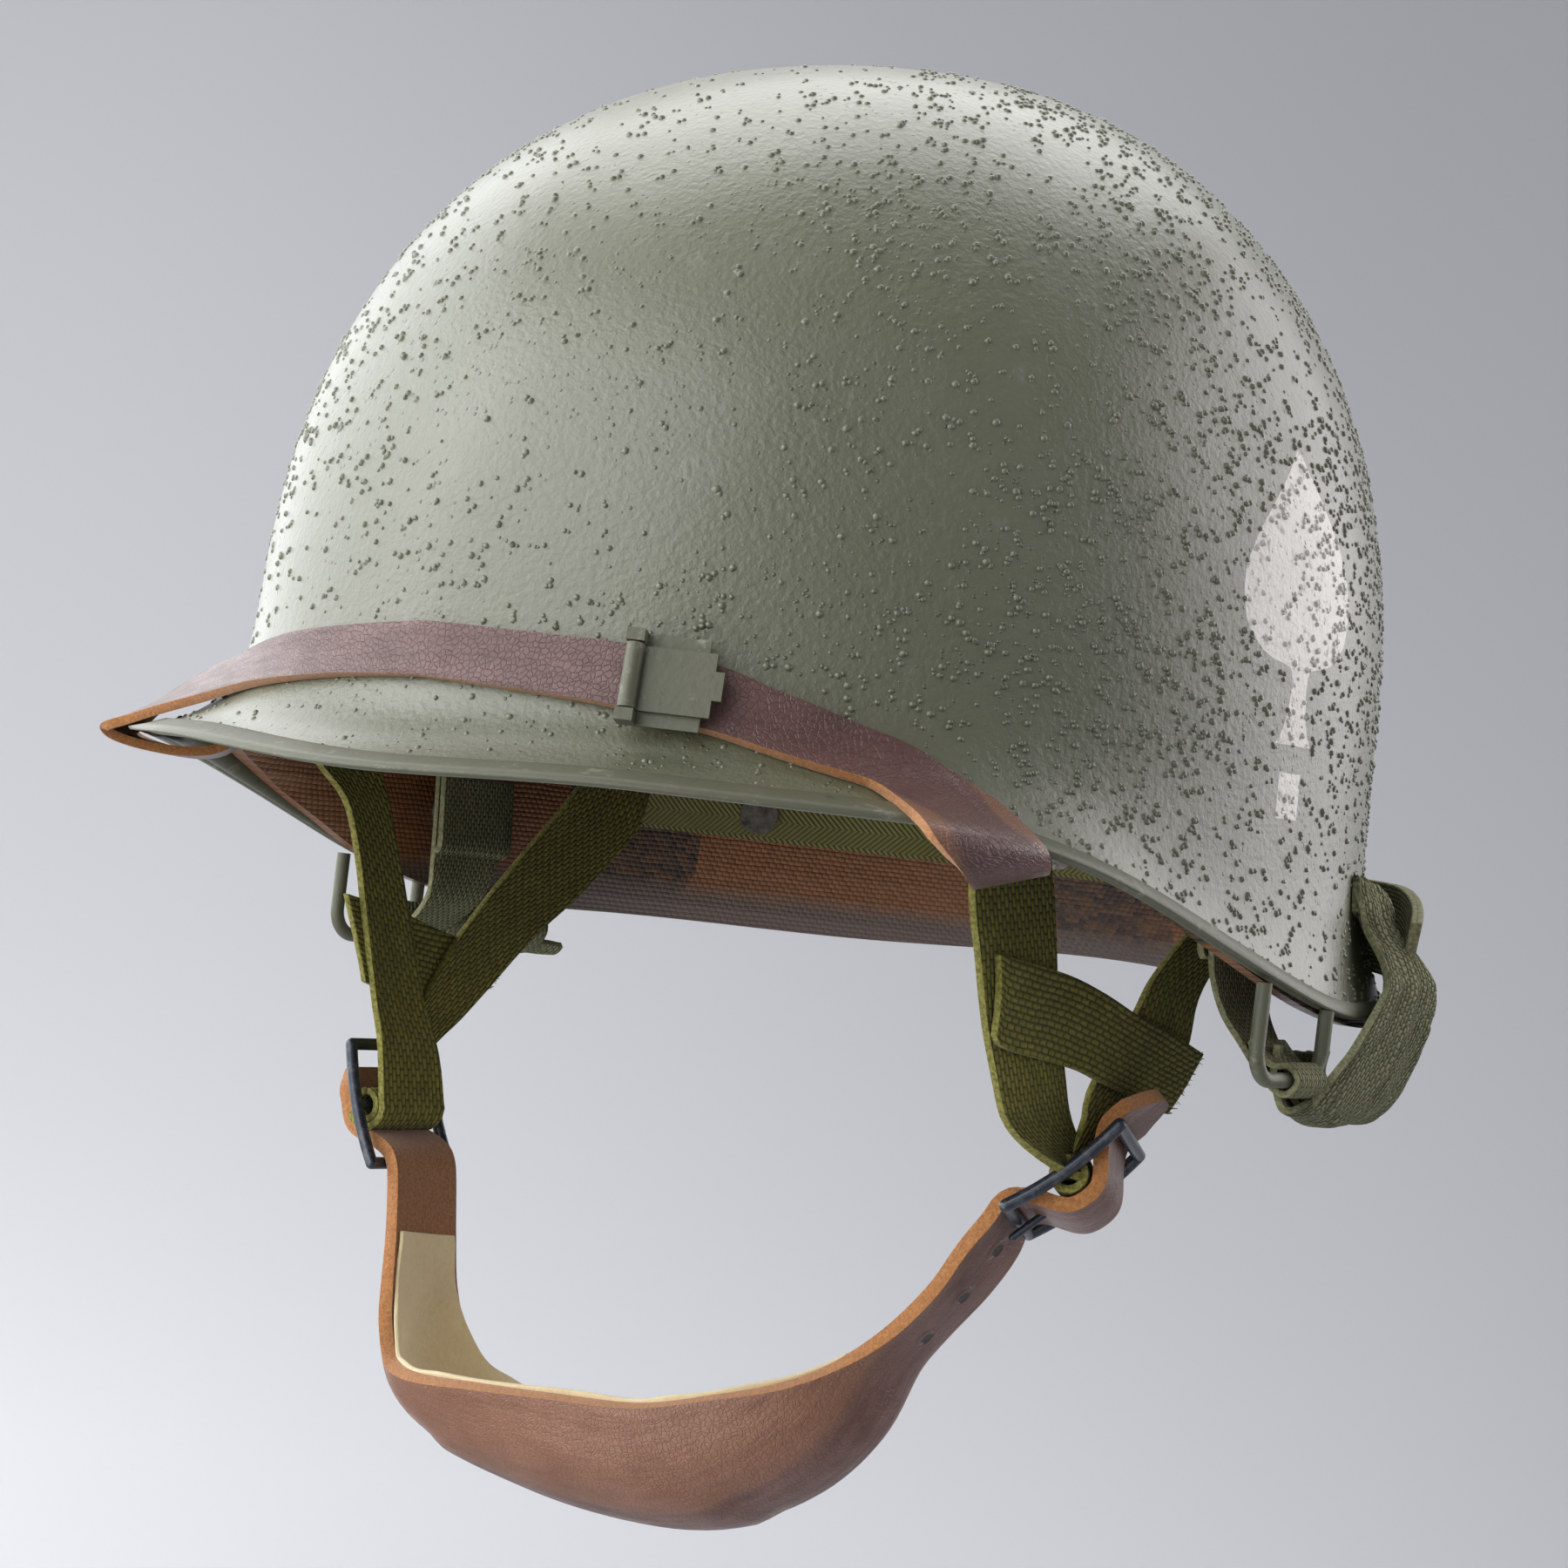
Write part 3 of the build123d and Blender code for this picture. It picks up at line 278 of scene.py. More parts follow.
def use_group(tree, group, **sockets):
    node = tree.nodes.new("ShaderNodeGroup")
    node.node_tree = group
    for key, value in sockets.items():
        socket = node.inputs[key.replace("_", " ")]
        if isinstance(value, bpy.types.NodeSocket):
            tree.links.new(value, socket)
        else:
            socket.default_value = value
    return node


def make_paint_group():
    """Old olive paint: soft tone patches, fine brush-out relief and rubbed places."""
    group, given, out = group_of("old_paint", [
        ("Place", "NodeSocketVector", None), ("Fresh", "NodeSocketColor", (0.1, 0.1, 0.06, 1)),
        ("Rubbed", "NodeSocketColor", (0.25, 0.25, 0.2, 1)), ("Rub", "NodeSocketFloat", 0.3)],
        [("Colour", "NodeSocketColor"), ("Roughness", "NodeSocketFloat"), ("Relief", "NodeSocketFloat")])
    place = given.outputs["Place"]
    broad = shader_node(group, "TexNoise", Vector=place, Scale=22.0, Detail=4.0, Roughness=0.6).outputs[0]
    peel = shader_node(group, "TexNoise", Vector=place, Scale=700.0, Detail=3.0, Roughness=0.55).outputs[0]
    scratch = shader_node(group, "TexNoise", Vector=place, Scale=160.0, Detail=6.0, Roughness=0.75).outputs[0]
    rubbed = maths(group, "MULTIPLY", spread(group, scratch, 0.58, 0.72), given.outputs["Rub"])
    toned = mix(group, spread(group, broad, 0.3, 0.7, 0.0, 0.35), given.outputs["Fresh"],
                (0.13, 0.135, 0.1, 1))
    group.links.new(mix(group, rubbed, toned, given.outputs["Rubbed"]), out.inputs["Colour"])
    group.links.new(spread(group, maths(group, "ADD", broad, maths(group, "MULTIPLY", scratch, 0.5)),
                           0.4, 1.1, 0.36, 0.56), out.inputs["Roughness"])
    group.links.new(peel, out.inputs["Relief"])
    return group


old_paint = make_paint_group()


def make_pot_paint():
    material, tree, skin = new_material("cork_paint", Specular_IOR_Level=0.8, Coat_Weight=0.5,
                                        Coat_Roughness=0.3)
    place = shader_node(tree, "TexCoord").outputs["Object"]
    paint = use_group(tree, old_paint, Place=place, Fresh=(0.1, 0.106, 0.055, 1),
                      Rubbed=(0.24, 0.24, 0.19, 1), Rub=0.3)
    parts = shader_node(tree, "SeparateXYZ", Vector=place)
    # sand under the paint: fine round grains in clusters
    cluster = shader_node(tree, "TexNoise", Vector=place, Scale=34.0, Detail=2.0).outputs[0]
    cells = shader_node(tree, "TexVoronoi", Vector=place, Scale=820.0)
    chance = shader_node(tree, "SeparateColor", Color=cells.outputs["Color"]).outputs[0]
    kept = maths(tree, "LESS_THAN", chance, spread(tree, cluster, 0.35, 0.7, 0.02, 0.3))
    sand = maths(tree, "MULTIPLY", spread(tree, cells.outputs["Distance"], 0.1, 0.34, 1.0, 0.0), kept)
    grain = shader_node(tree, "TexNoise", Vector=place, Scale=1100.0, Detail=2.0).outputs[0]
    # the stencilled spade and the short bar below it: half its width at each height
    across = maths(tree, "ABSOLUTE", maths(tree, "ADD", parts.outputs["Y"], 0.001))
    up = parts.outputs["Z"]
    outline = shader_node(tree, "FloatCurve", Value=spread(tree, up, SPADE_FOOT, SPADE_TIP))
    curve = outline.mapping.curves[0]
    for share, width in SPADE_SHARES[1:-1]:
        curve.points.new(share, width)
    curve.points[0].location = SPADE_SHARES[0]
    curve.points[-1].location = SPADE_SHARES[-1]
    outline.mapping.update()
    half_width = maths(tree, "MULTIPLY", outline.outputs[0], SPADE_HALF_WIDTH)
    in_spade = maths(tree, "MULTIPLY", maths(tree, "LESS_THAN", across, half_width),
                     maths(tree, "GREATER_THAN", up, SPADE_FOOT))
    bar_low, bar_high, bar_half_width = SPADE_BAR
    in_bar = maths(tree, "MULTIPLY", maths(tree, "LESS_THAN", across, bar_half_width),
                   maths(tree, "MULTIPLY", maths(tree, "GREATER_THAN", up, bar_low),
                         maths(tree, "LESS_THAN", up, bar_high)))
    side_only = maths(tree, "GREATER_THAN", maths(tree, "ABSOLUTE", parts.outputs["X"]), 0.07)
    flakes = shader_node(tree, "TexNoise", Vector=place, Scale=380.0, Detail=4.0).outputs[0]
    shape = maths(tree, "MULTIPLY", maths(tree, "MAXIMUM", in_spade, in_bar), side_only)
    stencil = maths(tree, "MULTIPLY", shape, spread(tree, flakes, 0.3, 0.42))
    whitened = mix(tree, maths(tree, "MULTIPLY", stencil, 0.92), paint.outputs["Colour"],
                   (0.62, 0.6, 0.54, 1))
    tree.links.new(whitened, skin.inputs["Base Color"])
    tree.links.new(paint.outputs["Roughness"], skin.inputs["Roughness"])
    first = bump(tree, skin, paint.outputs["Relief"], 0.0003)
    second = bump(tree, skin, grain, 0.00008, 1.0, first)
    bump(tree, skin, sand, 0.0004, 1.0, second)
    return material


# Spade: shares of its height from foot to tip, and its half width there
SPADE_FOOT, SPADE_TIP, SPADE_HALF_WIDTH = 0.0505, 0.107, 0.0205
SPADE_BAR = (0.0365, 0.0452, 0.0042)
SPADE_SHARES = ((0.0, 0.34), (0.12, 0.17), (0.24, 0.16), (0.275, 0.5), (0.33, 0.8), (0.42, 0.98), (0.52, 1.0),
                (0.64, 0.86), (0.78, 0.55), (0.9, 0.24), (1.0, 0.0))
pot_paint = make_pot_paint()


def pot_rows(grow):
    bearings = [2.5 * step for step in range(144)]
    rows = []
    for step in range(34):
        share = (step / 33) ** 1.6
        rows.append([pot_wall(rim_line(b) + share * (SHOULDER - rim_line(b)), b, grow) for b in bearings])
    for step in range(1, 44):
        rise = math.sin(math.radians(90 * step / 44))
        rows.append([pot_wall(SHOULDER + rise * (DOME_TOP + grow - SHOULDER), b, grow) for b in bearings])
    return rows


pot = surface("pot_skin", pot_rows(0.0), pot_paint, "helmet", closed=True, pole=(0, 0, DOME_TOP))
pot_lining = surface("pot_inside", pot_rows(-POT_STEEL), pot_paint, "helmet", closed=True,
                     pole=(0, 0, DOME_TOP - POT_STEEL), flip=True)


def scatter_cork(count, seed):
    """Crumbs of cork under the paint: small lumps in short chains, thicker to the sides and rear."""
    dice = random.Random(seed)
    verts, faces = [], []
    made = 0
    while made < count:
        bearing, rise = dice.uniform(0, 360), dice.uniform(0, 1)
        angle = abs((bearing + 180) % 360 - 180)
        height = rim_line(bearing) + 0.0012 + (DOME_TOP - 0.0016 - rim_line(bearing)) * rise
        level = min(max((height - SHOULDER) / (DOME_TOP - SHOULDER), 0), 1)
        girth = (1 - level ** 2.2) ** 0.455
        wanted = 0.16 + 0.5 * ease(angle, 12, 100) + 0.3 * level ** 2
        wanted *= 0.35 + 1.3 * ease(noise.noise(pot_wall(height, bearing) * 26) * 0.5 + 0.5, 0.2, 0.8)
        if dice.random() > girth * wanted:
            continue
        heading = dice.uniform(0, 2 * math.pi)
        for _ in range(dice.choice((1, 1, 1, 1, 2, 2))):
            size = dice.choice((0.00038, 0.00048, 0.0006, 0.0007)) * dice.uniform(0.85, 1.2)
            at = pot_wall(height, bearing)
            up = pot_wall(min(height + 0.0004, DOME_TOP - 0.0001), bearing) - at
            side = pot_wall(height, bearing + 0.2) - at
            up.normalize()
            side.normalize()
            out = side.cross(up).normalized()
            base = len(verts)
            spin, bulk = dice.uniform(0, 1), dice.uniform(0.5, 0.85)
            for share, lift in ((1.0, -0.12), (0.72, 0.62)):
                for corner in range(6):
                    turn = math.pi * (corner + spin) / 3
                    reach = size * share * dice.uniform(0.8, 1.15)
                    verts.append(at + side * reach * math.cos(turn) + up * reach * math.sin(turn)
                                 + out * size * bulk * lift)
            verts.append(at + out * size * bulk)
            for corner in range(6):
                nxt = (corner + 1) % 6
                faces.append((base + corner, base + nxt, base + 6 + nxt, base + 6 + corner))
                faces.append((base + 6 + corner, base + 6 + nxt, base + 12))
            made += 1
            heading += dice.uniform(-1.6, 1.6)
            height = min(height + size * 1.7 * math.sin(heading), DOME_TOP - 0.001)
            bearing += math.degrees(size * 1.7 * math.cos(heading) / max(0.12 * girth, 0.01))
            if height < rim_line(bearing) + 0.001:
                break
    mesh = bpy.data.meshes.new("cork_crumbs")
    mesh.from_pydata(verts, [], faces)
    for face in mesh.polygons:
        face.use_smooth = True
    mesh.materials.append(pot_paint)
    crumbs = bpy.data.objects.new("cork_crumbs", mesh)
    scene.collection.objects.link(crumbs)
    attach(crumbs, "helmet")
    return crumbs


for skin_piece in (pot, pot_lining, scatter_cork(16000, 7)):
    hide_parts("steel_shell")

# Rim edging and bales: a folded steel channel crimped over the pot's edge, and wire loops welded under
# it for the shell straps. Both wear the pot's paint, rubbed where straps and hands pass.


def make_trim_paint():
    material, tree, skin = new_material("trim_paint", Specular_IOR_Level=0.5)
    place = shader_node(tree, "TexCoord").outputs["Object"]
    paint = use_group(tree, old_paint, Place=place, Fresh=(0.1, 0.103, 0.062, 1),
                      Rubbed=(0.3, 0.3, 0.24, 1), Rub=0.8)
    chips = shader_node(tree, "TexNoise", Vector=place, Scale=240.0, Detail=5.0, Roughness=0.7).outputs[0]
    chipped = mix(tree, spread(tree, chips, 0.63, 0.68, 0.0, 0.7), paint.outputs["Colour"],
                  (0.05, 0.04, 0.03, 1))
    tree.links.new(chipped, skin.inputs["Base Color"])
    tree.links.new(paint.outputs["Roughness"], skin.inputs["Roughness"])
    bump(tree, skin, paint.outputs["Relief"], 0.00012)
    return material


trim_paint = make_trim_paint()
# Section of the folded channel, from its outer flange round to the inner one: up and out from the rim
edging_profile = ((0.0027, 0.0001), (0.00255, 0.0008), (0.0012, 0.00085), (0.0001, 0.00085),
                  (-0.0005, 0.00065), (-0.0004, 0.0001), (0.0, -0.0001), (0.0, -0.0004),
                  (-0.0006, -0.0006), (-0.0008, -0.001), (-0.0006, -0.0016), (0.0, -0.0018),
                  (0.0024, -0.00178), (0.0025, -0.0011))
edging_rows = []
for step in range(181):
    b = 2.0 * step
    edging_rows.append([pot_wall(rim_line(b) + max(up, 0), b, out) + Vector((0, 0, min(up, 0)))
                        for up, out in edging_profile])
edging = surface("rim_edging_skin", edging_rows, trim_paint, "helmet", closed=True)
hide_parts("rim_edging")
for name in ("bale_left", "bale_right"):
    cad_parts[name].data.materials.clear()
    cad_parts[name].data.materials.append(trim_paint)

# Liner: cotton duck soaked in resin and pressed to shape. Its weave shows brown inside, with darker
# patches where the pieces of cloth overlap and painted shade in the gaps between threads; its lower
# lip has a painted grey sheen and is shinier.


def make_weave_group():
    """Woven threads in brick order: each crossing is a small raised oval."""
    group, given, out = group_of("weave", [
        ("Lay", "NodeSocketVector", None), ("Length", "NodeSocketFloat", 0.002),
        ("Width", "NodeSocketFloat", 0.001)],
        [("Height", "NodeSocketFloat"), ("Thread", "NodeSocketFloat"), ("Gap", "NodeSocketFloat")])
    drift = shader_node(group, "TexNoise", Vector=given.outputs["Lay"], Scale=140.0, Detail=2.0).outputs[1]
    lay = shader_node(group, "VectorMath", {"operation": "ADD"}, i0=given.outputs["Lay"],
                      i1=shader_node(group, "VectorMath", {"operation": "MULTIPLY"}, i0=drift,
                                     i1=(0.0006, 0.0006, 0.0006)).outputs[0]).outputs[0]
    parts = shader_node(group, "SeparateXYZ", Vector=lay)
    across = maths(group, "DIVIDE", parts.outputs["Y"], given.outputs["Width"])
    row = maths(group, "FLOOR", across)
    along = maths(group, "ADD", maths(group, "DIVIDE", parts.outputs["X"], given.outputs["Length"]),
                  maths(group, "MULTIPLY", row, 0.5))
    from_middle = [maths(group, "MULTIPLY", maths(group, "ABSOLUTE", maths(group, "SUBTRACT",
                   maths(group, "FRACT", value), 0.5)), 2.0) for value in (along, across)]
    round_off = [maths(group, "SUBTRACT", 1.0, maths(group, "POWER", value, power))
                 for value, power in zip(from_middle, (2.6, 2.0))]
    height = maths(group, "MULTIPLY", round_off[0], round_off[1])
    cell = shader_node(group, "CombineXYZ", X=maths(group, "FLOOR", along), Y=row)
    chance = shader_node(group, "TexWhiteNoise", {"noise_dimensions": "3D"},
                         Vector=cell.outputs[0]).outputs[0]
    group.links.new(height, out.inputs["Height"])
    group.links.new(chance, out.inputs["Thread"])
    # Gap is 1 in the low places between threads; the materials use it to paint shade there
    group.links.new(spread(group, height, 0.1, 0.5, 1.0, 0.0), out.inputs["Gap"])
    return group


weave = make_weave_group()


def length_round(tree, parts, radius=0.11):
    """Distance round the inside of the helmet."""
    return maths(tree, "MULTIPLY", maths(tree, "ARCTAN2", parts.outputs["X"], parts.outputs["Y"]), radius)


def make_liner_fibre():
    material, tree, skin = new_material("resin_duck", Coat_Weight=0.12, Coat_Roughness=0.35)
    place = shader_node(tree, "TexCoord").outputs["Object"]
    parts = shader_node(tree, "SeparateXYZ", Vector=place)
    around = length_round(tree, parts)
    lay = shader_node(tree, "CombineXYZ", X=around, Y=parts.outputs["Z"]).outputs[0]
    cloth = use_group(tree, weave, Lay=lay, Length=0.0016, Width=0.0011)
    blocks = shader_node(tree, "TexVoronoi", {"distance": "CHEBYCHEV"}, Scale=24.0, Randomness=0.8,
                         Vector=shader_node(tree, "VectorMath", {"operation": "MULTIPLY"}, i0=lay,
                                            i1=(1.0, 0.5, 1.0)).outputs[0])
    patch = shader_node(tree, "SeparateColor", Color=blocks.outputs["Color"]).outputs[0]
    base = mix(tree, spread(tree, patch, 0.42, 0.5), (0.2, 0.065, 0.012, 1), (0.012, 0.008, 0.007, 1))
    # painted shade: the gaps between the woven threads are darkened
    liner_gap_shaded = mix(tree, maths(tree, "MULTIPLY", cloth.outputs["Gap"], 0.75), base, (0.045, 0.02, 0.008, 1))
    lit = mix(tree, maths(tree, "MULTIPLY", cloth.outputs["Thread"], 0.3), liner_gap_shaded, (0.34, 0.15, 0.045, 1))
    # painted sheen: the lower lip is coloured greyer to stand for a reflection, and its roughness is lowered
    lip_edge = spread(tree, parts.outputs["Z"], 0.0035, 0.0075, 1.0, 0.0)
    with_painted_lip_sheen = mix(tree, maths(tree, "MULTIPLY", lip_edge, 0.9), lit, (0.1, 0.07, 0.055, 1))
    tree.links.new(with_painted_lip_sheen, skin.inputs["Base Color"])
    tree.links.new(spread(tree, lip_edge, 0.0, 1.0, 0.5, 0.32), skin.inputs["Roughness"])
    bump(tree, skin, cloth.outputs["Height"], 0.00025)
    return material


def dress(node, material):
    """Give a CAD piece its finish."""
    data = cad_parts[node].data
    data.materials.clear()
    data.materials.append(material)


dress("liner_shell", make_liner_fibre())


# Bands inside the liner: herringbone webbing riveted to the wall, the crown straps and nape strap of
# the same cloth, and a leather headband hooked to the band by small clips.
def make_band_cloth():
    material, tree, skin = new_material("herringbone", Roughness=0.85, Sheen_Weight=0.2)
    place = shader_node(tree, "TexCoord").outputs["Object"]
    parts = shader_node(tree, "SeparateXYZ", Vector=place)
    around = length_round(tree, parts)
    lean = maths(tree, "PINGPONG", parts.outputs["Z"], 0.004)
    twill = maths(tree, "FRACT", maths(tree, "DIVIDE", maths(tree, "ADD", around, lean), 0.0014))
    ridge = maths(tree, "SINE", maths(tree, "MULTIPLY", twill, math.pi))
    stain = shader_node(tree, "TexNoise", Vector=place, Scale=45.0, Detail=5.0).outputs[0]
    cloth = mix(tree, spread(tree, stain, 0.35, 0.7), (0.46, 0.45, 0.15, 1), (0.3, 0.28, 0.08, 1))
    # painted shade: the twill's valleys, where the ridge is low, are mixed toward dark olive
    twill_valley_shaded = mix(tree, maths(tree, "MULTIPLY", ridge, 0.4), (0.11, 0.1, 0.03, 1), cloth)
    tree.links.new(twill_valley_shaded, skin.inputs["Base Color"])
    bump(tree, skin, ridge, 0.0003)
    return material


def make_leather_group():
    """Grain leather: fine cracked cells, long soft creases and mottled wax."""
    group, given, out = group_of("grain_leather", [
        ("Place", "NodeSocketVector", None), ("Tan", "NodeSocketColor", (0.3, 0.15, 0.1, 1)),
        ("Dark", "NodeSocketColor", (0.1, 0.05, 0.03, 1)), ("Cells", "NodeSocketFloat", 900.0)],
        [("Colour", "NodeSocketColor"), ("Roughness", "NodeSocketFloat"), ("Relief", "NodeSocketFloat")])
    place = given.outputs["Place"]
    cells = shader_node(group, "TexVoronoi", {"feature": "DISTANCE_TO_EDGE"}, Vector=place,
                        Scale=given.outputs["Cells"])
    crack = spread(group, cells.outputs[0], 0.0, 0.12)
    stretched = shader_node(group, "VectorMath", {"operation": "MULTIPLY"}, i0=place,
                            i1=(60.0, 420.0, 420.0)).outputs[0]
    crease = shader_node(group, "TexNoise", Vector=stretched, Scale=1.0, Detail=4.0, Roughness=0.6).outputs[0]
    cloud = shader_node(group, "TexNoise", Vector=place, Scale=70.0, Detail=5.0, Roughness=0.65).outputs[0]
    tone = maths(group, "ADD", maths(group, "MULTIPLY", cloud, 0.7), maths(group, "MULTIPLY", crease, 0.5))
    colour = mix(group, spread(group, tone, 0.42, 0.78), given.outputs["Dark"], given.outputs["Tan"])
    colour = mix(group, spread(group, crack, 0.0, 1.0, 0.45, 0.0), colour, given.outputs["Dark"])
    group.links.new(colour, out.inputs["Colour"])
    group.links.new(spread(group, tone, 0.4, 0.8, 0.55, 0.32), out.inputs["Roughness"])
    group.links.new(maths(group, "ADD", maths(group, "MULTIPLY", crack, 0.25), crease), out.inputs["Relief"])
    return group


leather_grain = make_leather_group()


def make_headband_leather():
    material, tree, skin = new_material("sweat_leather", Specular_IOR_Level=0.4)
    place = shader_node(tree, "TexCoord").outputs["Object"]
    hide = use_group(tree, leather_grain, Place=place, Tan=(0.3, 0.14, 0.06, 1), Dark=(0.12, 0.05, 0.025, 1),
                     Cells=1000.0)
    tree.links.new(hide.outputs["Colour"], skin.inputs["Base Color"])
    tree.links.new(hide.outputs["Roughness"], skin.inputs["Roughness"])
    bump(tree, skin, hide.outputs["Relief"], 0.0002)
    return material


def make_plated_steel():
    material, tree, skin = new_material("dull_plate", Metallic=0.9)
    place = shader_node(tree, "TexCoord").outputs["Object"]
    tarnish = shader_node(tree, "TexNoise", Vector=place, Scale=300.0, Detail=5.0, Roughness=0.7).outputs[0]
    tree.links.new(mix(tree, spread(tree, tarnish, 0.4, 0.65), (0.32, 0.31, 0.29, 1), (0.1, 0.085, 0.07, 1)),
                   skin.inputs["Base Color"])
    tree.links.new(spread(tree, tarnish, 0.35, 0.65, 0.32, 0.6), skin.inputs["Roughness"])
    bump(tree, skin, tarnish, 0.00005)
    return material


band_cloth, plated_steel = make_band_cloth(), make_plated_steel()
for name in ("suspension_band", "nape_strap", "crown_straps"):
    dress(name, band_cloth)
dress("headband", make_headband_leather())
for name in ("headband_clips", "liner_rivets", "yoke_rings", "liner_strap_studs", "strap_snaps"):
    dress(name, plated_steel)


# Liner strap: a narrow waxed leather strap worn over the visor, its cut edges raw and fuzzy. It turns
# under the rim at each side and is held by studs inside the liner.
def raw_edge_material(name, dark, light):
    """Cut leather: pale loose fibres."""
    material, tree, skin = new_material(name, Roughness=0.95, Sheen_Weight=0.3)
    place = shader_node(tree, "TexCoord").outputs["Object"]
    fibre = shader_node(tree, "TexNoise", Vector=place, Scale=1500.0, Detail=4.0, Roughness=0.8).outputs[0]
    tree.links.new(mix(tree, spread(tree, fibre, 0.35, 0.65), dark, light), skin.inputs["Base Color"])
    bump(tree, skin, fibre, 0.0004)
    return material


def strap_leather_material(name, tan, dark, hole_first, hole_last, hole_step, tilt=0.0):
    """Grain side of a strap; holes are punched every hole_step along it between two places, each painted
    near-black as painted shade over a sunken relief with a raised lip.
    """
    material, tree, skin = new_material(name, Specular_IOR_Level=0.55, Coat_Weight=0.15, Coat_Roughness=0.3)
    lay = shader_node(tree, "UVMap", {"uv_map": "lay"}).outputs[0]
    hide = use_group(tree, leather_grain, Place=lay, Tan=tan, Dark=dark, Cells=850.0)
    parts = shader_node(tree, "SeparateXYZ", Vector=lay)
    along, across = parts.outputs["X"], parts.outputs["Y"]
    turns = maths(tree, "DIVIDE", maths(tree, "SUBTRACT", along, hole_first), hole_step)
    past = maths(tree, "FRACT", maths(tree, "ADD", turns, 0.5))
    off = maths(tree, "MULTIPLY", maths(tree, "SUBTRACT", past, 0.5), hole_step)
    reach = maths(tree, "SQRT", maths(tree, "ADD", maths(tree, "POWER", off, 2.0),
                  maths(tree, "POWER", maths(tree, "ADD", across, tilt), 2.0)))
    inside = maths(tree, "MULTIPLY", maths(tree, "GREATER_THAN", along, hole_first - hole_step / 2),
                   maths(tree, "LESS_THAN", along, hole_last + hole_step / 2))
    punched = maths(tree, "MULTIPLY", spread(tree, reach, 0.0011, 0.0015, 1.0, 0.0), inside)
    lip = maths(tree, "MULTIPLY", maths(tree, "SUBTRACT", 1.0, spread(tree, maths(tree, "ABSOLUTE",
                maths(tree, "SUBTRACT", reach, 0.0021)), 0.0, 0.0009)), inside)
    worn_edge = spread(tree, maths(tree, "ABSOLUTE", across), 0.0075, 0.0096)
    coloured = mix(tree, maths(tree, "MULTIPLY", worn_edge, 0.35), hide.outputs["Colour"],
                   (0.34, 0.15, 0.06, 1))
    # painted shade: the punched holes are coloured near-black in place of real openings
    tree.links.new(mix(tree, punched, coloured, (0.012, 0.008, 0.006, 1)), skin.inputs["Base Color"])
    tree.links.new(hide.outputs["Roughness"], skin.inputs["Roughness"])
    first = bump(tree, skin, hide.outputs["Relief"], 0.00035)
    bump(tree, skin, maths(tree, "SUBTRACT", maths(tree, "MULTIPLY", lip, 0.6), punched), 0.0009, 1.0, first)
    return material


raw_orange = raw_edge_material("raw_edge", (0.3, 0.11, 0.03, 1), (0.55, 0.24, 0.07, 1))
flesh_side = raw_edge_material("flesh_side", (0.17, 0.06, 0.018, 1), (0.4, 0.17, 0.05, 1))
# the strap over the visor has no holes in sight, so its row of them lies far past its end
FAR_PAST, FAR_END = 9.0, 9.1
liner_leather = strap_leather_material("visor_strap_leather", (0.14, 0.062, 0.052, 1),
                                       (0.07, 0.028, 0.024, 1), FAR_PAST, FAR_END, 0.01)


def bearing_of(y, height, grow):
    """Bearing on the wearer's left at which the wall at a height passes a fore-and-aft place."""
    low, high = 0.0, 120.0
    for _ in range(40):
        middle = (low + high) / 2
        if pot_wall(height, middle, grow).y < y:
            low = middle
        else:
            high = middle
    return (low + high) / 2


def smooth_run(points, steps):
    """A run of points eased through the given ones."""
    run = []
    for i in range(len(points) - 1):
        p0, p1 = Vector(points[max(i - 1, 0)]), Vector(points[i])
        p2, p3 = Vector(points[i + 1]), Vector(points[min(i + 2, len(points) - 1)])
        for step in range(steps):
            t = step / steps
            run.append(0.5 * ((2 * p1) + (p2 - p0) * t + (2 * p0 - 5 * p1 + 4 * p2 - p3) * t * t
                              + (3 * p1 - p0 - 3 * p2 + p3) * t ** 3))
    run.append(Vector(points[-1]))
    return run


def thicken(piece, thickness, offset=0.0, rim=0, back=0, round_edge=0.0004):
    """Give a sheet its thickness; the cut edges and the back can have finishes of their own."""
    solid = piece.modifiers.new("thickness", "SOLIDIFY")
    solid.thickness = thickness
    solid.offset = offset
    solid.use_even_offset = False
    solid.material_offset_rim = rim
    solid.material_offset = back
    if round_edge:
        soft = piece.modifiers.new("soft_edge", "BEVEL")
        soft.width = round_edge
        soft.segments = 2
        soft.limit_method = "ANGLE"
        soft.angle_limit = math.radians(50)
        soft.harden_normals = False


VISOR_STRAP = 0.0019
strap_out = 0.0004 + VISOR_STRAP
upper_edge = ((-0.1185, 0.0529), (-0.1140, 0.0524), (-0.1078, 0.0500), (-0.1047, 0.0480), (-0.1000, 0.0460),
              (-0.0940, 0.0430), (-0.0886, 0.0410))
lower_edge = ((-0.1215, 0.0424), (-0.1177, 0.0412), (-0.1115, 0.0390), (-0.1090, 0.0378), (-0.1050, 0.0362),
              (-0.1008, 0.0348), (-0.0984, 0.0338))
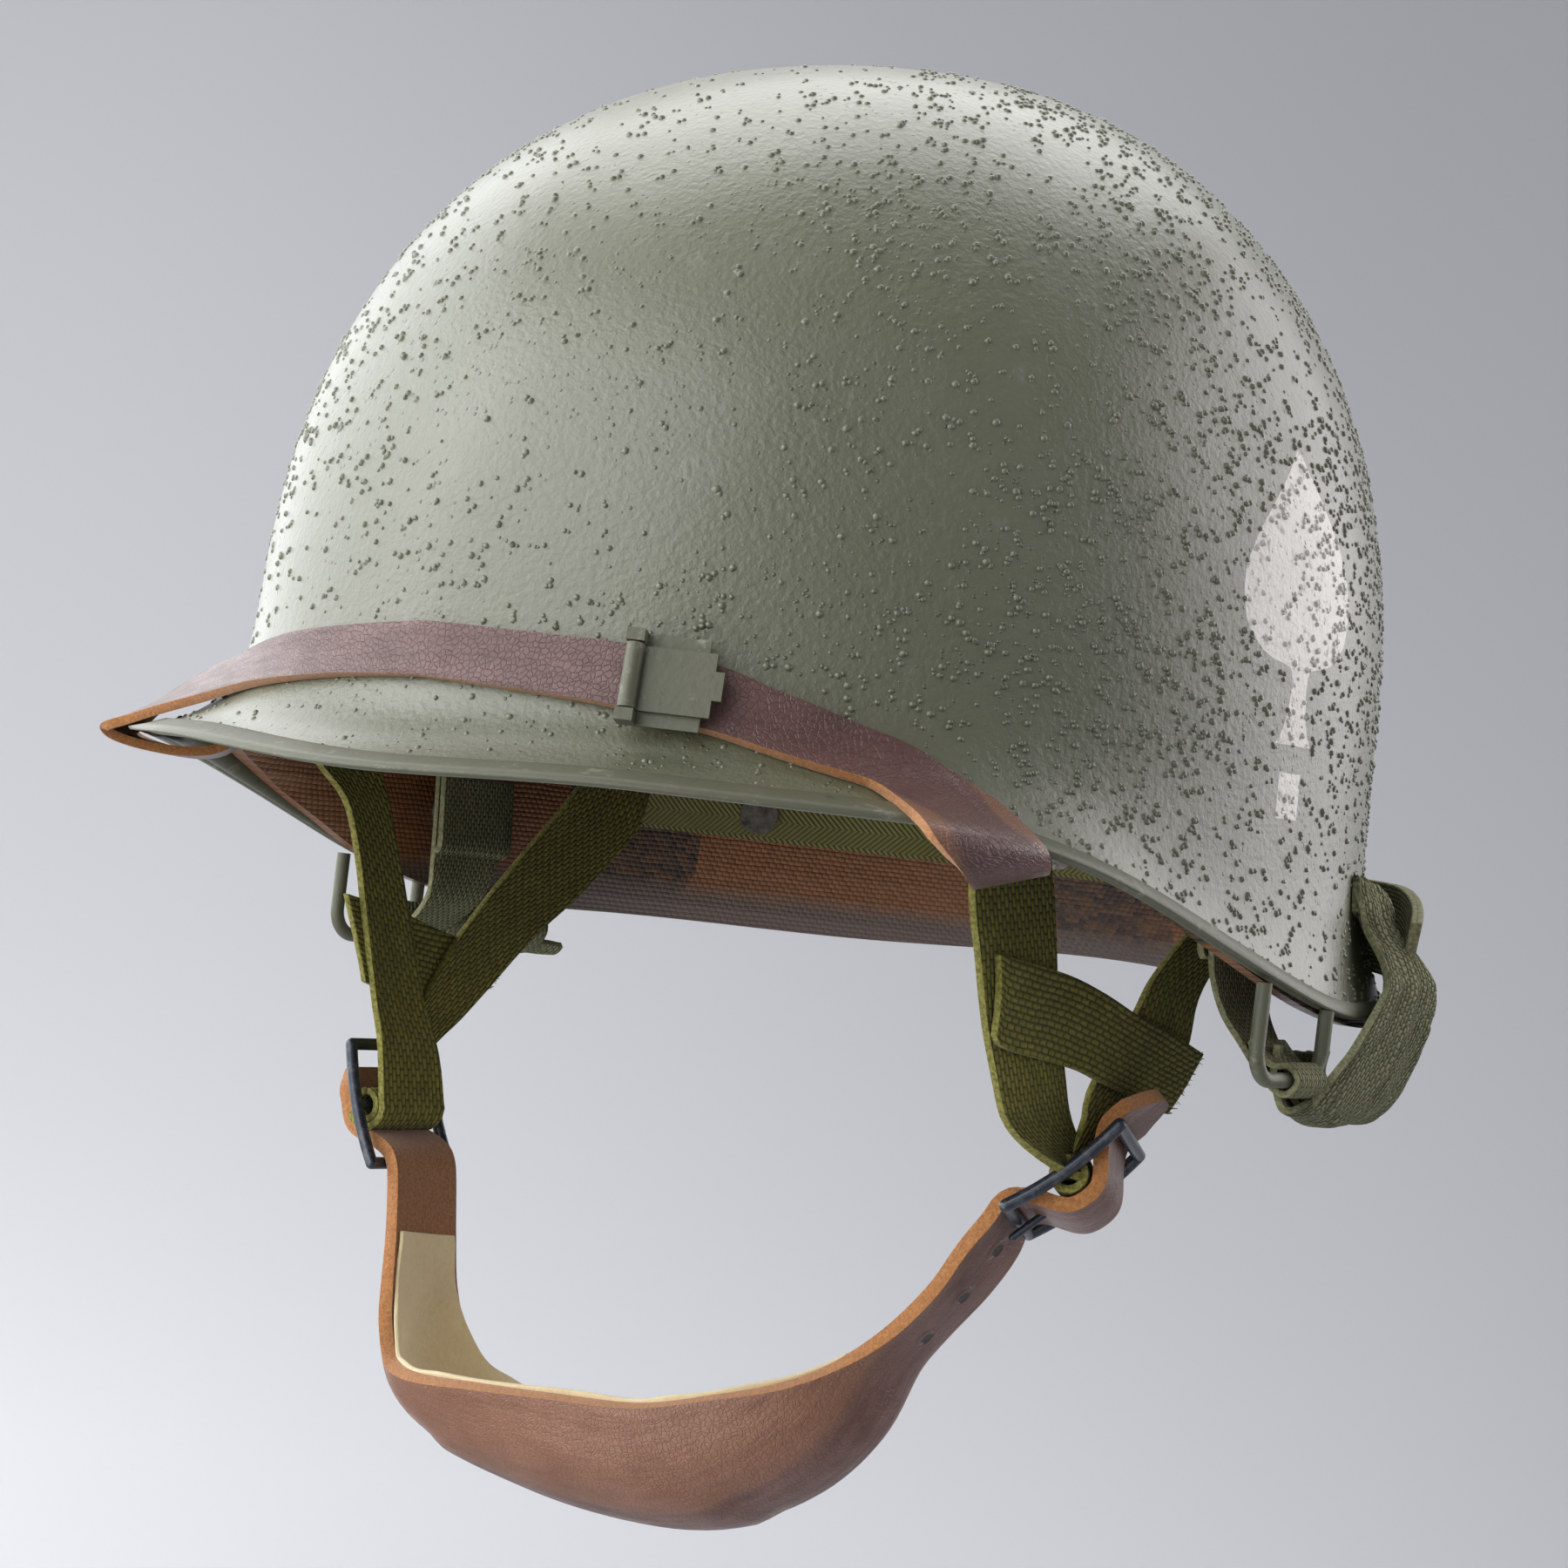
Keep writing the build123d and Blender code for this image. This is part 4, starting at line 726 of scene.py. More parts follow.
# each station: bearing, height and distance from the wall of the upper edge, then of the lower
near_stations = [(bearing_of(upper_y, upper_z, strap_out), upper_z, strap_out,
                  bearing_of(lower_y, lower_z, strap_out), lower_z, strap_out)
                 for (upper_y, upper_z), (lower_y, lower_z) in zip(upper_edge, lower_edge)]
near_stations += [(51.0, 0.0352, 0.0026, 44.8, 0.0300, 0.0030), (53.5, 0.0318, 0.0030, 45.6, 0.0258, 0.0034),
                  (54.7, 0.0266, 0.0034, 47.7, 0.0208, 0.0036), (56.0, 0.0222, 0.0018, 49.4, 0.0178, 0.0018),
                  (57.2, 0.0210, -0.0012, 51.2, 0.0172, -0.0016), (58.2, 0.0228, -0.0042, 52.6, 0.0212, -0.0048),
                  (59.0, 0.0275, -0.0062, 53.0, 0.0290, -0.0062), (59.2, 0.0360, -0.0061, 53.0, 0.0380, -0.0061),
                  (59.2, 0.0480, -0.0061, 53.0, 0.0480, -0.0061)]
far_stations = [(12.0, 0.0510, 0.0023, 9.0, 0.0424, 0.0023), (20.0, 0.0494, 0.0021, 16.0, 0.0412, 0.0023),
                (27.0, 0.0472, 0.0022, 22.0, 0.0400, 0.0023), (34.0, 0.0446, 0.0026, 28.0, 0.0386, 0.0024),
                (40.0, 0.0420, 0.0050, 33.0, 0.0366, 0.0032), (43.5, 0.0390, 0.0070, 36.5, 0.0344, 0.0043),
                (46.0, 0.0362, 0.0074, 39.0, 0.0322, 0.0045), (48.5, 0.0326, 0.0058, 40.5, 0.0301, 0.0036),
                (50.5, 0.0288, 0.0034, 41.5, 0.0276, 0.0026), (52.0, 0.0250, 0.0022, 42.5, 0.0250, 0.0018),
                (53.0, 0.0230, -0.0010, 43.5, 0.0234, -0.0012), (53.5, 0.0236, -0.0042, 44.0, 0.0242, -0.0046),
                (54.0, 0.0280, -0.0062, 44.5, 0.0290, -0.0062), (54.5, 0.0360, -0.0061, 45.0, 0.0380, -0.0061),
                (54.5, 0.0480, -0.0061, 45.0, 0.0480, -0.0061)]


def by_wall(bearing, height, out):
    """A place beside the pot's wall; below the rim it hangs straight down."""
    rim = rim_line(bearing)
    return pot_wall(max(height, rim), bearing, out) + Vector((0, 0, min(height - rim, 0)))


def strap_side(stations, steps=7):
    """Rows across the strap from the front of the visor to its end inside the liner."""
    stations = [(0.0, 0.0533, strap_out, 0.0, 0.0434, strap_out)] + stations
    upper = smooth_run([Vector(station[:3]) for station in stations], steps)
    lower = smooth_run([Vector(station[3:]) for station in stations], steps)
    rows = []
    for first, second in zip(upper, lower):
        rows.append([by_wall(*first.lerp(second, column / 8)) for column in range(9)])
    for _ in range(10):
        rows = [rows[0]] + [[(before + 2 * here + after) / 4 for before, here, after in zip(*near)]
                            for near in zip(rows, rows[1:], rows[2:])] + [rows[-1]]
    return rows


side_rows = strap_side(near_stations)
mirrored = [[Vector((-point.x, point.y, point.z)) for point in row]
            for row in reversed(strap_side(far_stations)[1:])]
visor_strap = surface("visor_strap", mirrored + side_rows, [liner_leather, raw_orange, flesh_side], "helmet")
thicken(visor_strap, VISOR_STRAP, -1.0, 1, 2)
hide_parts("liner_strap")

# Buckle of the visor strap: a folded sheet plate and its gate, painted olive with bright rubbed corners.
for name in ("strap_buckle", "strap_buckle_gate", "strap_buckle_pin"):
    dress(name, trim_paint)


# Yokes: cotton webbing sewn into an inverted A each side. The legs hang from wire rings, meet in a
# sleeve round the buckle's centre bar, and are tied by a cross piece with frayed ends.
def make_webbing(name, light, dark, length, width, fuzz):
    material, tree, skin = new_material(name, Roughness=0.95, Specular_IOR_Level=0.2, Sheen_Weight=0.08,
                                        Sheen_Roughness=0.5)
    lay = shader_node(tree, "UVMap", {"uv_map": "lay"}).outputs[0]
    place = shader_node(tree, "TexCoord").outputs["Object"]
    cloth = use_group(tree, weave, Lay=lay, Length=length, Width=width)
    fibre = shader_node(tree, "TexNoise", Vector=place, Scale=2200.0, Detail=2.0).outputs[0]
    soil = shader_node(tree, "TexNoise", Vector=place, Scale=55.0, Detail=4.0, Roughness=0.6).outputs[0]
    threads = mix(tree, spread(tree, cloth.outputs["Thread"], 0.0, 1.0, 0.0, 0.55), light, dark)
    soiled = mix(tree, spread(tree, soil, 0.4, 0.75, 0.0, 0.5), threads, dark)
    # painted shade: the gaps between the threads are darkened to near-black
    deep = mix(tree, maths(tree, "MULTIPLY", cloth.outputs["Gap"], 0.72), soiled,
               (dark[0] * 0.22, dark[1] * 0.2, dark[2] * 0.18, 1))
    tree.links.new(mix(tree, maths(tree, "MULTIPLY", fibre, fuzz), deep, light), skin.inputs["Base Color"])
    first = bump(tree, skin, cloth.outputs["Height"], 0.0007)
    bump(tree, skin, fibre, 0.00018, 1.0, first)
    return material


def make_frayed(name, light, dark):
    material, tree, skin = new_material(name, Roughness=1.0, Specular_IOR_Level=0.2, Sheen_Weight=0.1)
    place = shader_node(tree, "TexCoord").outputs["Object"]
    fibre = shader_node(tree, "TexNoise", Vector=place, Scale=1300.0, Detail=3.0).outputs[0]
    tree.links.new(mix(tree, spread(tree, fibre, 0.35, 0.65), dark, light), skin.inputs["Base Color"])
    bump(tree, skin, fibre, 0.0003)
    return material


yoke_web = make_webbing("yoke_webbing", (0.23, 0.215, 0.04, 1), (0.1, 0.093, 0.014, 1), 0.0027, 0.00125, 0.06)
yoke_edge = make_frayed("yoke_selvage", (0.28, 0.26, 0.075, 1), (0.13, 0.12, 0.025, 1))
WEB = 0.0016


def resample(points, count):
    """Evenly spaced points on an eased run."""
    run = smooth_run([Vector((y, z, 0)) for y, z in points], 8)
    lengths = [0.0]
    for first, second in zip(run, run[1:]):
        lengths.append(lengths[-1] + (second - first).length)
    result, i = [], 0
    for step in range(count):
        wanted = lengths[-1] * step / (count - 1)
        while i < len(run) - 2 and lengths[i + 1] < wanted:
            i += 1
        share = (wanted - lengths[i]) / max(lengths[i + 1] - lengths[i], 1e-9)
        result.append(run[i].lerp(run[i + 1], min(max(share, 0), 1)))
    return result


def web_leg(name, body, node, x, bar_x, left_edge, right_edge, outward, loop=None, wrap_height=0.031):
    """One leg: from its sewn end inside, up round the ring's bar and down the outside to the buckle."""
    count = 34
    edges = list(zip(resample(left_edge, count), resample(right_edge, count)))
    top_left, top_right = edges[0]
    rows = []
    bore = 0.0023
    path = [(-bore, -0.003), (-bore, -0.001)]
    path += [(-bore * math.cos(turn), bore * math.sin(turn)) for turn in
             [math.radians(15 * step) for step in range(13)]]
    for out, up in path:
        rows.append([Vector((bar_x + outward * out, top_left.x + (top_right.x - top_left.x) * j / 10,
                             wrap_height + up)) for j in range(11)])
    for i, (left, right) in enumerate(edges[1:], 1):
        share = i / (count - 1)
        drop = max(0.0, 1 - share * 5)
        wave = 0.0004 * noise.noise(Vector((share * 7, body == "yoke_left", x * 40)))
        row = []
        for j in range(11):
            t = j / 10
            point = left.lerp(right, t)
            crown = 0.00025 * (1 - (2 * t - 1) ** 4)
            at = Vector((x + outward * (bore * drop ** 2 + crown) + wave, point.x, min(point.y, wrap_height)))
            if loop is not None:
                centre, bar, out = loop
                end = centre + bar * (0.0195 * t - 0.00975) + out
                draw = ease(share, 0.72, 1.0)
                at = Vector((at.x + (end.x - at.x) * draw, at.y + (end.y - at.y) * draw ** 2,
                             at.z + (end.z - at.z) * draw ** 3))
            row.append(at)
        rows.append(row)
    if loop is not None and loop[2].x * outward < 0:
        # a right leg laps the bar from inside and turns under it
        centre, bar, out = loop
        below = out.cross(bar).normalized()
        below = below if below.z < 0 else -below
        for turn in [math.radians(22 * step) for step in range(1, 8)]:
            rows.append([centre + bar * (0.0195 * j / 10 - 0.00975) + out * math.cos(turn)
                         + below * out.length * math.sin(turn) for j in range(11)])
    leg = surface(name, rows, [yoke_web, yoke_edge], body, flip=outward < 0)
    thicken(leg, WEB, 0.0, 1, 0, 0.0003)
    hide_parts(node)
    return leg


def mm(*points):
    return [(y / 1000, z / 1000) for y, z in points]


def cross_piece(name, body, node, x, top_edge, bottom_edge, outward):
    """The sewn cross piece with its raw ends: loose threads stand out of the cut."""
    count = 26
    rows = []
    for i, (top, bottom) in enumerate(zip(resample(top_edge, count), resample(bottom_edge, count))):
        ragged = 0.0006 if i in (0, count - 1) else 0.0
        lap = outward * 0.0017 * (1 - ease(i / (count - 1), 0.3, 0.62))
        rows.append([Vector((x - lap + outward * 0.0002 * math.sin(i * 0.7 + j * 0.5),
                             top.x + (bottom.x - top.x) * j / 8 + ragged * math.sin(j * 12.9),
                             top.y + (bottom.y - top.y) * j / 8)) for j in range(9)])
    piece = surface(name, rows, [yoke_web, yoke_edge], body, flip=outward > 0)
    thicken(piece, WEB, 0.0, 1, 0, 0.0003)
    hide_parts(node)
    mesh = bpy.data.meshes.new(name + "_threads")
    bm = bmesh.new()
    end = rows[-1]
    for k in range(46):
        t = (k + 0.5) / 46
        root = end[0].lerp(end[-1], t) + Vector((outward * 0.0006 * math.sin(k * 3.1), 0, 0))
        reach = 0.0011 + 0.0009 * abs(math.sin(k * 7.3))
        direction = Vector((0.3 * math.sin(k * 5.1), 1.0, 0.5 * math.sin(k * 2.3))).normalized()
        tip = root + direction * reach
        width = Vector((0, 0.00009, -0.00012))
        corners = [root - width, root + width, tip + width * 0.4, tip - width * 0.4]
        bm.faces.new([bm.verts.new(corner) for corner in corners])
    bm.to_mesh(mesh)
    bm.free()
    mesh.materials.append(yoke_edge)
    threads = bpy.data.objects.new(name + "_threads", mesh)
    scene.collection.objects.link(threads)
    thicken(threads, 0.00015, 0.0, 0, 0, 0)
    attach(threads, body)


def loop_axes(centre, bar, stand_off):
    """Centre and direction of the bar that a yoke carries its buckle by, and where the leg passes it."""
    bar = Vector(bar).normalized()
    out = bar.cross(Vector((0, 0, 1))).normalized()
    return Vector(centre), bar, out * (stand_off if out.x > 0 else -stand_off)


# Where the centre bars of the two chin buckles stand, and the way they run
LEFT_BAR_PLACE, LEFT_BAR = (0.086, -0.019, -0.037), (-0.321, 0.901, -0.292)
RIGHT_BAR_PLACE = (-0.082, -0.024, -0.046)
left_loop = loop_axes(LEFT_BAR_PLACE, LEFT_BAR, 0.003)
right_loop = loop_axes(RIGHT_BAR_PLACE, (0, 1, 0), 0.0047)
web_leg("yoke_left_front_leg", "yoke_left", "yoke_left", 0.0852, 0.086,
        mm((-67, 31), (-67, 18.3), (-60.7, 2.7), (-51.2, -17.7), (-44, -27), (-36, -33), (-28, -36)),
        mm((-48, 31), (-40.4, 19.4), (-34.8, 3.1), (-28.5, -15.4), (-22, -27), (-15, -34), (-10, -39)),
        1, left_loop)
web_leg("yoke_left_rear_leg", "yoke_left", "yoke_left", 0.0868, 0.086,
        mm((31, 31), (10.3, 12.6), (-1.5, 2.5), (-7.1, -4.3), (-19.5, -17.9), (-20.8, -25), (-24, -31)),
        mm((51, 31), (26.5, 10), (17.1, -0.2), (14.1, -10.5), (6.2, -21), (-4, -26), (-11, -31)), 1)
cross_piece("yoke_left_cross_piece", "yoke_left", "yoke_left", 0.0885,
            mm((-57.8, 5.7), (-34.8, 3.1), (-22, 0.1), (-7.5, -4.3), (8, -8), (18.6, -11)),
            mm((-55.8, -9.1), (-51.4, -11.5), (-28.7, -14.6), (-19.7, -17), (-6, -20), (6.2, -23)), 1)
web_leg("yoke_right_front_leg", "yoke_right", "yoke_right", -0.0812, -0.082,
        mm((-66, 31), (-60.7, 24.8), (-50, 14.8), (-40, -12), (-35, -27.5), (-34, -36), (-33.7, -46)),
        mm((-46, 31), (-42.7, 25.5), (-33.4, 6.4), (-27.7, -6.7), (-21.1, -22.4), (-16, -34), (-14.2, -46)), -1,
        right_loop)
web_leg("yoke_right_rear_leg", "yoke_right", "yoke_right", -0.0828, -0.082,
        mm((31, 31), (26.4, 26.7), (6.7, 7.9), (-9, -8.4), (-19.7, -23.9), (-25, -32), (-27, -38)),
        mm((54, 31), (50, 20), (43.8, 13.6), (28.7, 0.9), (14.8, -9), (-4.5, -26), (-13.5, -33),
           (-14.6, -38)), -1)
cross_piece("yoke_right_cross_piece", "yoke_right", "yoke_right", -0.0845,
            mm((-47, -1.4), (-29.2, -4.5), (-10.4, -8.8), (9, -11.5)),
            mm((-38.6, -19.9), (-20.9, -23.5), (-8, -22.5), (3, -21)), -1)


def low_sleeve(name, body, node, centre, bar, up, notch=0.0026):
    """The legs' doubled end round the buckle's centre bar, in two halves beside the tongue."""
    bar, up = Vector(bar).normalized(), Vector(up)
    up = (up - bar * up.dot(bar)).normalized()
    out = bar.cross(up)
    for half, (start, end) in enumerate(((-0.0099, -notch), (notch, 0.0099))):
        rows = []
        for step in range(25):
            turn = math.radians(15 * step)
            reach = 0.003
            rows.append([Vector(centre) + bar * (start + (end - start) * j / 4)
                         + up * reach * math.cos(turn) + out * reach * math.sin(turn) for j in range(5)])
        piece = surface(f"{name}_{half}", rows, [yoke_web, yoke_edge], body)
        thicken(piece, WEB, 0.0, 1, 0, 0.0003)
        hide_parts(node)


low_sleeve("yoke_left_sleeve", "yoke_left", "yoke_left", LEFT_BAR_PLACE, LEFT_BAR, (0, 0, 1))
low_sleeve("yoke_right_sleeve", "yoke_right", "yoke_right", RIGHT_BAR_PLACE, (0, -1, 0), (0, 0, 1))


# Chin buckles: bowed frames of japanned wire with a tongue curled round the centre bar.
def make_black_wire():
    material, tree, skin = new_material("japanned_wire", Metallic=0.55, Coat_Weight=0.4, Coat_Roughness=0.2)
    place = shader_node(tree, "TexCoord").outputs["Object"]
    wear = shader_node(tree, "TexNoise", Vector=place, Scale=420.0, Detail=5.0, Roughness=0.7).outputs[0]
    tree.links.new(mix(tree, spread(tree, wear, 0.5, 0.72), (0.035, 0.042, 0.058, 1), (0.12, 0.125, 0.14, 1)),
                   skin.inputs["Base Color"])
    tree.links.new(spread(tree, wear, 0.35, 0.7, 0.26, 0.5), skin.inputs["Roughness"])
    bump(tree, skin, wear, 0.00008)
    return material


black_wire = make_black_wire()
for name in ("chin_buckle_left", "chin_buckle_right", "chin_tongue_left", "chin_tongue_right", "rear_buckle",
             "rear_hook"):
    dress(name, black_wire)

# Chin strap and cup: one strip of brown leather, moulded into a deep cup at the chin and threaded
# through both buckles. The grain side is outside; every edge is cut raw.
HALF_FRAME = 0.013
THREAD = 0.0054
# How the leather threads a buckle and where its free ends reach: shares along the frame and out of it
through_buckle = ((-1.3, -0.7), (-1.0, -0.77), (-0.81, -0.6), (-0.6, -0.1), (-0.35, 0.7), (-0.15, 1.0),
                  (0.15, 1.0))
left_tail = ((0.35, 0.7), (0.6, -0.1), (0.81, -0.6), (1.0, -0.77), (1.35, -0.82), (1.78, -0.82))
right_tail = ((0.4, 0.95), (0.72, 0.88))
# From the right buckle to the left one: place in mm, the leather's width and how deep it is moulded
cup_route = ((-70.5, -24.0, -72.0, 19.5, 0.4), (-68.0, -25.0, -83.2, 21.5, 1.5), (-64.0, -26.0, -91.8, 26.0, 4.5),
             (-58.0, -26.5, -98.4, 32.0, 8.5), (-48.0, -27.0, -100.5, 38.0, 11.5),
             (-32.0, -27.0, -100.3, 43.0, 14.5), (-11.0, -27.0, -99.4, 46.0, 17.0),
             (12.0, -27.0, -97.2, 47.0, 17.5), (29.0, -27.0, -91.2, 42.0, 16.0), (42.0, -27.0, -84.5, 34.0, 11.0),
             (52.5, -27.0, -76.0, 25.0, 3.5), (59.5, -26.5, -69.0, 20.0, 0.8), (67.0, -26.0, -60.0, 19.0, 0.3),
             (72.0, -25.5, -51.6, 19.0, 0.3))
CUP_TILT = math.radians(14)
CUP_DEPTH = 17.5


def buckle_axes(side):
    """Place, bar direction, long axis and outward normal of a chin buckle."""
    if side > 0:
        normal = Vector((0.729, 0.040, -0.679)).normalized()
        bar = Vector(LEFT_BAR)
        bar = (bar - normal * bar.dot(normal)).normalized()
        return Vector(LEFT_BAR_PLACE), bar, normal.cross(bar), normal
    lean = math.radians(22)
    normal = Vector((-math.cos(lean), 0, -math.sin(lean)))
    bar = Vector((0, -1, 0))
    return Vector(RIGHT_BAR_PLACE), bar, normal.cross(bar), normal


def chin_stations():
    stations = []
    place, _, up, out = buckle_axes(-1)
    for count, (along, lift) in enumerate(reversed(through_buckle + right_tail)):
        stations.append((place + up * along * HALF_FRAME + out * lift * THREAD, Vector((0, 1, 0)),
                         0.019 if count else 0.014, 0.0002))
    for x, y, z, width, sag in cup_route:
        tilt = CUP_TILT * sag / CUP_DEPTH
        stations.append((Vector((x, y, z)) / 1000, Vector((0, math.cos(tilt), -math.sin(tilt))), width / 1000,
                         sag / 1000))
    place, bar, up, out = buckle_axes(1)
    for along, lift in ((-1.0, -0.6), (-0.78, -0.42)) + through_buckle[3:] + left_tail:
        stations.append((place + up * along * HALF_FRAME + out * lift * THREAD, bar, 0.019, 0.0002))
    return stations


def chin_rows(stations, inward=0.0, trim=0.0, columns=29, steps=8, ruffle=0.0):
    """Rows across the strip: each is the arc of the moulded section."""
    packed = [(*place, *across, width, sag) for place, across, width, sag in stations]
    runs = []
    for part in ((0, 3), (3, 6), (6, 8)):
        padded = [Vector((*entry[part[0]:part[1]], 0)[:3]) for entry in packed]
        runs.append(smooth_run(padded, steps))
    rows = []
    for i, (place, across, sizes) in enumerate(zip(*runs)):
        before, after = runs[0][max(i - 1, 0)], runs[0][min(i + 1, len(runs[0]) - 1)]
        ahead = (after - before).normalized()
        side = (across - ahead * across.dot(ahead)).normalized()
        out = side.cross(ahead)
        half = (sizes.x - trim) / 2
        sag = max(sizes.y, 0.00015)
        radius = (half * half + sag * sag) / (2 * sag)
        spread_angle = math.asin(min(half / radius, 1.0))
        if sag > half:
            spread_angle = math.pi - spread_angle
        row = []
        for j in range(columns):
            t = 2 * j / (columns - 1) - 1
            angle = spread_angle * t
            lift = radius * math.cos(angle) - (radius - sag)
            wave = ruffle * abs(t) ** 8 * math.sin(i * 0.55 + 1.3 * math.sin(i * 0.21))
            off_oval = math.hypot((place.x + 0.014) / 0.038, t / 0.86)
            emboss = 0.0011 * (1 - ease(off_oval, 0.9, 1.03)) if sizes.y > 0.008 and not inward else 0
            lip = 0.0012 * max((abs(t) - 0.8) / 0.2, 0) ** 2 * ease(sizes.y, 0.003, 0.012)
            row.append(place + side * (radius + lip) * math.sin(angle)
                       + out * (lift - inward - wave + emboss))
        rows.append(row)
    return rows


def length_to(rows, last):
    """Length along the middle of a strip, from its first row to another."""
    middle = len(rows[0]) // 2
    return sum((after[middle] - before[middle]).length
               for before, after in zip(rows[:last], rows[1:last + 1]))


stations = chin_stations()
rows = chin_rows(stations)
LOWEST_HOLE_ROW, HIGHEST_HOLE_ROW = 160, 177
lowest_hole, highest_hole = length_to(rows, LOWEST_HOLE_ROW), length_to(rows, HIGHEST_HOLE_ROW)
chin_leather = strap_leather_material("chin_leather", (0.22, 0.105, 0.075, 1), (0.1, 0.04, 0.028, 1),
                                      lowest_hole, highest_hole, (highest_hole - lowest_hole) / 2)
# the free end at the left is cut to a rounded point
tip_rows = 11
for back in range(tip_rows):
    row = rows[-1 - back]
    share = back / (tip_rows - 1)
    low, high = 0.5 - 0.5 * share ** 0.7, 0.62 + 0.38 * share ** 0.8
    first, last = row[0].copy(), row[-1].copy()
    for j in range(len(row)):
        t = low + (high - low) * j / (len(row) - 1)
        row[j] = first.lerp(last, t)
chin_strap = surface("chin_strap_leather", rows, [chin_leather, raw_orange, flesh_side], "chin_harness")
thicken(chin_strap, 0.0029, 0.0, 1, 2)
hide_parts("chin_strap")


# Chamois: the cup's pale lining, glued inside and trimmed a little proud of the leather's edge.
def make_chamois():
    material, tree, skin = new_material("chamois_nap", Roughness=1.0, Sheen_Weight=0.5, Sheen_Roughness=0.6)
    place = shader_node(tree, "TexCoord").outputs["Object"]
    nap = shader_node(tree, "TexNoise", Vector=place, Scale=900.0, Detail=5.0, Roughness=0.7).outputs[0]
    soil = shader_node(tree, "TexNoise", Vector=place, Scale=40.0, Detail=4.0).outputs[0]
    pale = mix(tree, spread(tree, soil, 0.35, 0.75), (0.68, 0.55, 0.3, 1), (0.5, 0.36, 0.18, 1))
    brushed = mix(tree, spread(tree, nap, 0.3, 0.7, 0.0, 0.3), pale, (0.8, 0.7, 0.46, 1))
    tree.links.new(brushed, skin.inputs["Base Color"])
    bump(tree, skin, nap, 0.0003)
    return material


chamois = make_chamois()
first_lined = len(through_buckle) + len(right_tail)
lined = stations[first_lined:first_lined + 11]
lining = surface("chin_cup_chamois", chin_rows(lined, 0.0017, 0.0026, ruffle=0.00022), [chamois],
                 "chin_harness", flip=True)
thicken(lining, 0.0009, 0.0, 0, 0, 0.0002)
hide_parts("chin_cup_lining")

# Shell chinstraps: soft grey-olive webbing looped on each bale. A tab goes up inside to a snap; the
# strap itself hangs in a fold, rolls over the brim and runs round the back to its hook.
shell_web = make_webbing("shell_webbing", (0.27, 0.27, 0.15, 1), (0.13, 0.135, 0.065, 1), 0.0019, 0.0009,
                         0.15)
shell_edge = make_frayed("shell_selvage", (0.28, 0.28, 0.16, 1), (0.15, 0.15, 0.08, 1))
SHELL_WEB = 0.0014


def ribbon(name, side, stations, width, columns=9, steps=7, thickness=SHELL_WEB, crease=0.0):
    """A strip of webbing through stations of (place, direction across it, share of width)."""
    places = smooth_run([Vector(place) for place, _, _ in stations], steps)
    acrosses = smooth_run([Vector(across).normalized() for _, across, _ in stations], steps)
    widths = smooth_run([Vector((share, 0, 0)) for _, _, share in stations], steps)
    rows = []
    for i, (place, across, share) in enumerate(zip(places, acrosses, widths)):
        before, after = places[max(i - 1, 0)], places[min(i + 1, len(places) - 1)]
        out = across.normalized().cross((after - before).normalized())
        row = []
        for j in range(columns):
            t = 2 * j / (columns - 1) - 1
            curl = crease * math.cos(t * 2.2 + i * 0.11)
            point = place + across.normalized() * t * width * share.x / 2 + out * curl
            row.append(Vector((side * point.x, point.y, point.z)))
        rows.append(row)
    piece = surface(name, rows, [shell_web, shell_edge], "helmet", flip=side < 0)
    thicken(piece, thickness, 0.0, 1, 0, 0.0003)
    return piece


def place_by(bearing, outward, height):
    """A place beside the rim: outward from the pot's rim at a bearing, at a height."""
    at = pot_wall(rim_line(bearing), bearing)
    turn = math.radians(bearing)
    normal = Vector((math.sin(turn) / DOME_SIDE, -math.cos(turn) / DOME_REAR, 0)).normalized()
    return Vector((at.x, at.y, height)) + normal * outward / 1000


# Section of the roll beside the brim: outward from it in mm, and height in mm, from the bale to the top
roll_section = ((-9.0, -8.0), (-9.5, -13.0), (-7.0, -18.0), (-3.0, -20.8), (1.5, -19.5), (5.0, -14.5),
                (7.4, -7.0), (8.6, 1.5), (8.2, 9.5), (6.8, 16.5), (5.4, 21.5), (3.4, 25.0), (1.6, 25.6),
                (0.9, 23.2), (1.2, 19.0))



